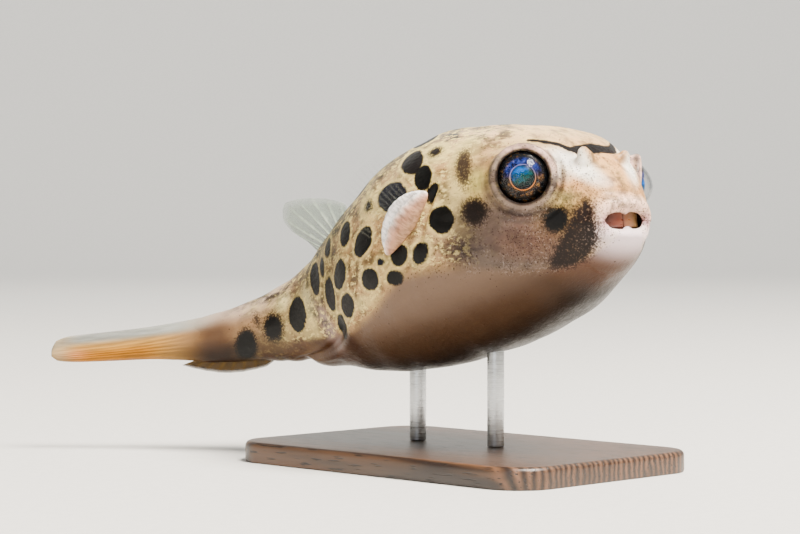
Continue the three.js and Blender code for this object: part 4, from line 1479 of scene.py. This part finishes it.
class PUFFER_OT_pectoral_fins(bpy.types.Operator):
    """Builds the paired fins: a fleshy root on the flank and a clear fan of rays"""

    bl_idname = "puffer.pectoral_fins"
    bl_label = "Pectoral fins"
    bl_options = {"REGISTER", "UNDO"}

    def execute(self, context):
        settings = context.scene.puffer_fins
        flesh = fin_flesh()
        tints = ("#8E9282", "#C9C8BC", settings.pectoral_opacity, 0.06)
        clear = fin_membrane("pectoral_fin_membrane", *tints)
        slant = Matrix.Rotation(math.radians(PECTORAL_SLANT), 4, "X")
        out = float(between(BODY["back"], BODY["half"], PECTORAL_BACK)) + 0.3
        for side in (RIGHT, LEFT):
            name = SIDE_NAMES[side]
            at_flank = frame_at(side * out, PECTORAL_BACK, PECTORAL_HIGH) @ slant
            root = sphere(f"pectoral_root_{name}", 1, 96, 96)
            p = points(root)
            # a crescent, full towards the tail, with a rolled band along the heads of the
            # rays and soft folds that fan out from the joint
            along, across = p[:, 2], p[:, 1]
            taper = 1.62 - 0.55 * np.abs(along) ** 1.5
            y = across * taper - 0.75 * along**2 + 0.35
            band = hump(across - 0.62, 0.26) - 0.8 * hump(across - 0.26, 0.12)
            folds = np.cos(along * 17 + across * 2.5) * smooth(0.3, -0.2, across) * (1 - along**2)
            ribs = np.cos(along * 34) * smooth(0.45, 0.8, across) * (1 - along**2)
            puff = (0.3 * band + 0.14 * folds + 0.06 * ribs) * (1 - along**4)
            x = p[:, 0] * (0.95 - 0.3 * np.maximum(across, 0)) + side * puff * (p[:, 0] * side > 0)
            z = along * 3.75
            set_points(root, np.stack([x, y, z], 1))
            store(root, "lobe", np.stack([x, across * 1.5, z], 1), "FLOAT_VECTOR")
            place(root, at_flank)
            settle(close_up(root, 1e-5), flesh, "fin", f"pectoral_fin_{name}")

            def shape(across, reach, ridge, side=side):
                foot = (across - 0.5) * 6.2
                spread = (across - 0.5) * 8.3
                length = 5.3 + 0.75 * np.sin(across * math.pi) - 0.35 * across
                y = 0.55 - 0.405 * (across * 2 - 1) ** 2 + reach * length * scallop(ridge)
                z = foot + (spread - foot) * reach
                splay = math.radians(PECTORAL_SPLAY[side])
                wave = 0.28 * np.sin(across * 8 + reach * 2.0) * reach**1.3
                x = side * (0.5 + y * math.sin(splay)) + wave
                return np.stack([x, y * math.cos(splay), z], 1)

            fan = film(f"pectoral_film_{name}", 15, 30, shape, 0.06, 0.24)
            store(fan, "straight", points(fan), "FLOAT_VECTOR")
            place(fan, at_flank)
            settle(close_up(fan, 1e-5), clear, "fin")
        return {"FINISHED"}


class PUFFER_OT_tail_fin(bpy.types.Operator):
    """Builds the folded tail fin, its rays packed side by side into a slim paddle"""

    bl_idname = "puffer.tail_fin"
    bl_label = "Tail fin"
    bl_options = {"REGISTER", "UNDO"}

    def execute(self, context):
        piece = tube("tail_fin", TAIL_FIN, 180, 120, 0.0)
        p = points(piece)
        angle = np.arctan2(p[:, 2], p[:, 0])
        rib = np.cos(angle * 16 + 0.8 * np.sin(p[:, 1] * 0.25) + 0.6 * np.sin(angle * 5))
        grow = 0.03 * rib * smooth(52.5, 56, p[:, 1]) * smooth(TOTAL_LENGTH, TOTAL_LENGTH - 1.5, p[:, 1])
        size = np.maximum(np.hypot(p[:, 0], p[:, 2]), 0.2)
        p[:, ::2] *= (1 + grow / size)[:, None]
        p[:, 0] += 0.12 * np.sin(p[:, 2] * 2.1) * smooth(54, 60, p[:, 1])
        ground = paint_tail(np.tile(np.array(colour("#B39474"))[:3], (len(p), 1)), p)
        store(piece, "ground", np.column_stack([ground, np.ones(len(p))]), "FLOAT_COLOR")
        store(piece, "ray", (rib + 1) / 2)
        store(piece, "straight", p, "FLOAT_VECTOR")
        set_points(piece, posed(p))
        settle(piece, packed_rays(), "tail_fin", "caudal_fin")
        return {"FINISHED"}


# ------------------------------------------------------------------ stand


class PUFFER_OT_stand(bpy.types.Operator):
    """Builds the wooden base and the two steel rods"""

    bl_idname = "puffer.stand"
    bl_label = "Stand"
    bl_options = {"REGISTER", "UNDO"}

    def execute(self, context):
        settings = context.scene.puffer_stand
        low, high = (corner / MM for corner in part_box("stand_base"))
        deselect()
        bpy.ops.mesh.primitive_cube_add(size=1)
        base = named("wooden_base")
        bpy.ops.object.mode_set(mode="EDIT")
        bpy.ops.mesh.select_mode(type="EDGE")
        bpy.ops.mesh.select_all(action="SELECT")
        bpy.ops.transform.resize(value=high - low)
        bpy.ops.transform.translate(value=(low + high) / 2)
        pick_edges(base, lambda a, b: abs(a.z - b.z) > 0.5)
        bpy.ops.mesh.bevel(offset=settings.corner / MM, segments=16, affect="EDGES")
        pick_edges(base, lambda a, b: min(a.z, b.z) > high.z - 1e-3)
        bpy.ops.mesh.bevel(offset=settings.edge / MM, segments=5, affect="EDGES")
        pick_edges(base, lambda a, b: max(a.z, b.z) < low.z + 1e-3)
        bpy.ops.mesh.bevel(offset=0.15, segments=2, affect="EDGES")
        bpy.ops.object.mode_set(mode="OBJECT")
        settle(base, stained_walnut(settings), "wood", "stand_base")
        sharpen(base)
        steel = brushed_steel()
        for name in ("front", "rear"):
            low, high = (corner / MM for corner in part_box(f"stand_rod_{name}"))
            size = high - low
            rod = cylinder(f"steel_rod_{name}", size.x / 2, size.z, (low + high) / 2)
            bpy.ops.object.mode_set(mode="EDIT")
            pick_edges(rod, lambda a, b: abs(a.z - b.z) < 1e-4)
            bpy.ops.mesh.bevel(offset=0.12, segments=3, affect="EDGES")
            bpy.ops.object.mode_set(mode="OBJECT")
            settle(rod, steel, "steel", f"stand_rod_{name}")
            sharpen(rod)
        return {"FINISHED"}


def pick_edges(piece, wanted):
    """In edit mode, selects only the edges whose two ends pass a test."""
    bpy.ops.mesh.select_mode(type="EDGE")
    bpy.ops.mesh.select_all(action="DESELECT")
    bpy.ops.object.mode_set(mode="OBJECT")
    co = [v.co for v in piece.data.vertices]
    for edge in piece.data.edges:
        edge.select = wanted(co[edge.vertices[0]], co[edge.vertices[1]])
    bpy.ops.object.mode_set(mode="EDIT")


def sharpen(piece):
    """Keeps the flats of a made thing flat and its rounded edges round."""
    grab(piece)
    bpy.ops.object.shade_smooth_by_angle(angle=math.radians(30))
    deselect()


# ------------------------------------------------------------------ stage


# the studio is measured in metres
FLOOR = 0.9  # radius of the flat of the backdrop
COVE = 0.5  # radius of the curve in which it rises to its wall
COVE_STEPS = 12
WALL = 0.7  # height of the wall over the curve
AZIMUTH, ELEVATION = math.radians(-45), math.radians(1)  # of the camera, seen from the fish
DISTANCE = 0.210
SHIFT = (-0.00567, -0.001214)  # of the camera to its right and upwards


class PUFFER_OT_stage(bpy.types.Operator):
    """Builds the paper backdrop, the lights and the camera"""

    bl_idname = "puffer.stage"
    bl_label = "Stage"
    bl_options = {"REGISTER", "UNDO"}

    def execute(self, context):
        settings = context.scene.puffer_stage
        deselect()
        bpy.ops.mesh.primitive_circle_add(vertices=96, radius=FLOOR, fill_type="NGON")
        floor = named("paper_floor")
        edit()
        angles = [step / COVE_STEPS * math.pi / 2 for step in range(COVE_STEPS + 1)]
        for before, after in zip(angles, angles[1:]):
            rise = COVE * (math.cos(before) - math.cos(after))
            wider = (FLOOR + COVE * math.sin(after)) / (FLOOR + COVE * math.sin(before))
            bpy.ops.mesh.extrude_edges_move(TRANSFORM_OT_translate={"value": (0, 0, rise)})
            bpy.ops.transform.resize(value=(wider, wider, 1))
        bpy.ops.mesh.extrude_edges_move(TRANSFORM_OT_translate={"value": (0, 0, WALL)})
        bpy.ops.mesh.select_all(action="SELECT")
        bpy.ops.mesh.normals_make_consistent(inside=True)
        bpy.ops.object.mode_set(mode="OBJECT")
        bpy.ops.object.shade_smooth()
        floor.data.materials.append(backdrop_paper(settings))
        floor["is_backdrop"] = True
        fish, paper = Vector((0, 0, 0.02)), Vector((1.3, 1.3, 0.2))
        for name, location, target, size, power, code in (
            ("key_light", (0.02, -0.30, 0.50), fish, 0.24, settings.key, "#FFF6EA"),
            ("fill_light", (-0.55, -0.25, 0.22), fish, 0.40, settings.fill, "#F2F6FF"),
            ("rim_light", (0.35, 0.42, 0.40), fish, 0.30, settings.fill * 0.7, "#FFFDF6"),
            ("paper_light", (0.45, 0.45, 1.1), paper, 0.80, settings.fill * 16, "#FFFFFF"),
        ):
            aim = (target - Vector(location)).to_track_quat("-Z", "Y").to_euler()
            bpy.ops.object.light_add(type="AREA", location=location, rotation=aim)
            lamp = bpy.context.object
            lamp.name = name
            lamp.data.size = size
            lamp.data.energy = power
            lamp.data.color = colour(code)[:3]
        world = bpy.data.worlds.new("soft_room")
        context.scene.world = world
        world.use_nodes = True
        light = world.node_tree.nodes["Background"].inputs
        light["Color"].default_value = colour("#E4E8EA")
        light["Strength"].default_value = 0.2
        level = Vector((math.sin(AZIMUTH), -math.cos(AZIMUTH), 0)) * math.cos(ELEVATION)
        away = level + Vector((0, 0, math.sin(ELEVATION)))
        right = Vector((math.cos(AZIMUTH), math.sin(AZIMUTH), 0))
        spot = Vector((0, 0, AXIS_HEIGHT * MM)) + away * DISTANCE
        spot += right * SHIFT[0] + away.cross(right) * SHIFT[1]
        bpy.ops.object.camera_add(location=spot, rotation=(math.pi / 2 - ELEVATION, 0, AZIMUTH))
        camera = bpy.context.object
        camera.name = "camera"
        camera.data.lens = settings.lens
        camera.data.clip_start = 0.01
        context.scene.camera = camera
        return {"FINISHED"}


# ------------------------------------------------------------------ add-on


class PUFFER_PT_model(bpy.types.Panel):
    """Lists the steps that build the pufferfish"""

    bl_idname = "PUFFER_PT_model"
    bl_label = "Pufferfish"
    bl_space_type = "VIEW_3D"
    bl_region_type = "UI"
    bl_category = "Pufferfish"

    def draw(self, context):
        for name in SETTINGS:
            group = getattr(context.scene, name)
            column = self.layout.column(align=True)
            for key in group.bl_rna.properties.keys():
                if key not in {"rna_type", "name"}:
                    column.prop(group, key)
        for step in STEPS_IN_ORDER:
            self.layout.operator(step.bl_idname)


SETTINGS = {
    "puffer_skin": SkinSettings,
    "puffer_eyes": EyeSettings,
    "puffer_fins": FinSettings,
    "puffer_stand": StandSettings,
    "puffer_stage": StageSettings,
}
STEPS_IN_ORDER = (
    PUFFER_OT_stage,
    PUFFER_OT_skin,
    PUFFER_OT_eyes,
    PUFFER_OT_beak,
    PUFFER_OT_upright_fins,
    PUFFER_OT_pectoral_fins,
    PUFFER_OT_tail_fin,
    PUFFER_OT_stand,
)


def register():
    for name, group in SETTINGS.items():
        bpy.utils.register_class(group)
        setattr(bpy.types.Scene, name, bpy.props.PointerProperty(type=group))
    for step in STEPS_IN_ORDER + (PUFFER_PT_model,):
        bpy.utils.register_class(step)


def unregister():
    for step in reversed(STEPS_IN_ORDER + (PUFFER_PT_model,)):
        bpy.utils.unregister_class(step)
    for name, group in SETTINGS.items():
        delattr(bpy.types.Scene, name)
        bpy.utils.unregister_class(group)


def main():
    register()
    bpy.ops.puffer.stage()
    bpy.ops.puffer.skin()
    bpy.ops.puffer.eyes()
    bpy.ops.puffer.beak()
    bpy.ops.puffer.upright_fins()
    bpy.ops.puffer.pectoral_fins()
    bpy.ops.puffer.tail_fin()
    bpy.ops.puffer.stand()
    boxes = {"cad": CAD_BOX, "visual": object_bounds()}
    {key: [list(corner) for corner in box] for key, box in boxes.items()}


if __name__ == "__main__":
    main()
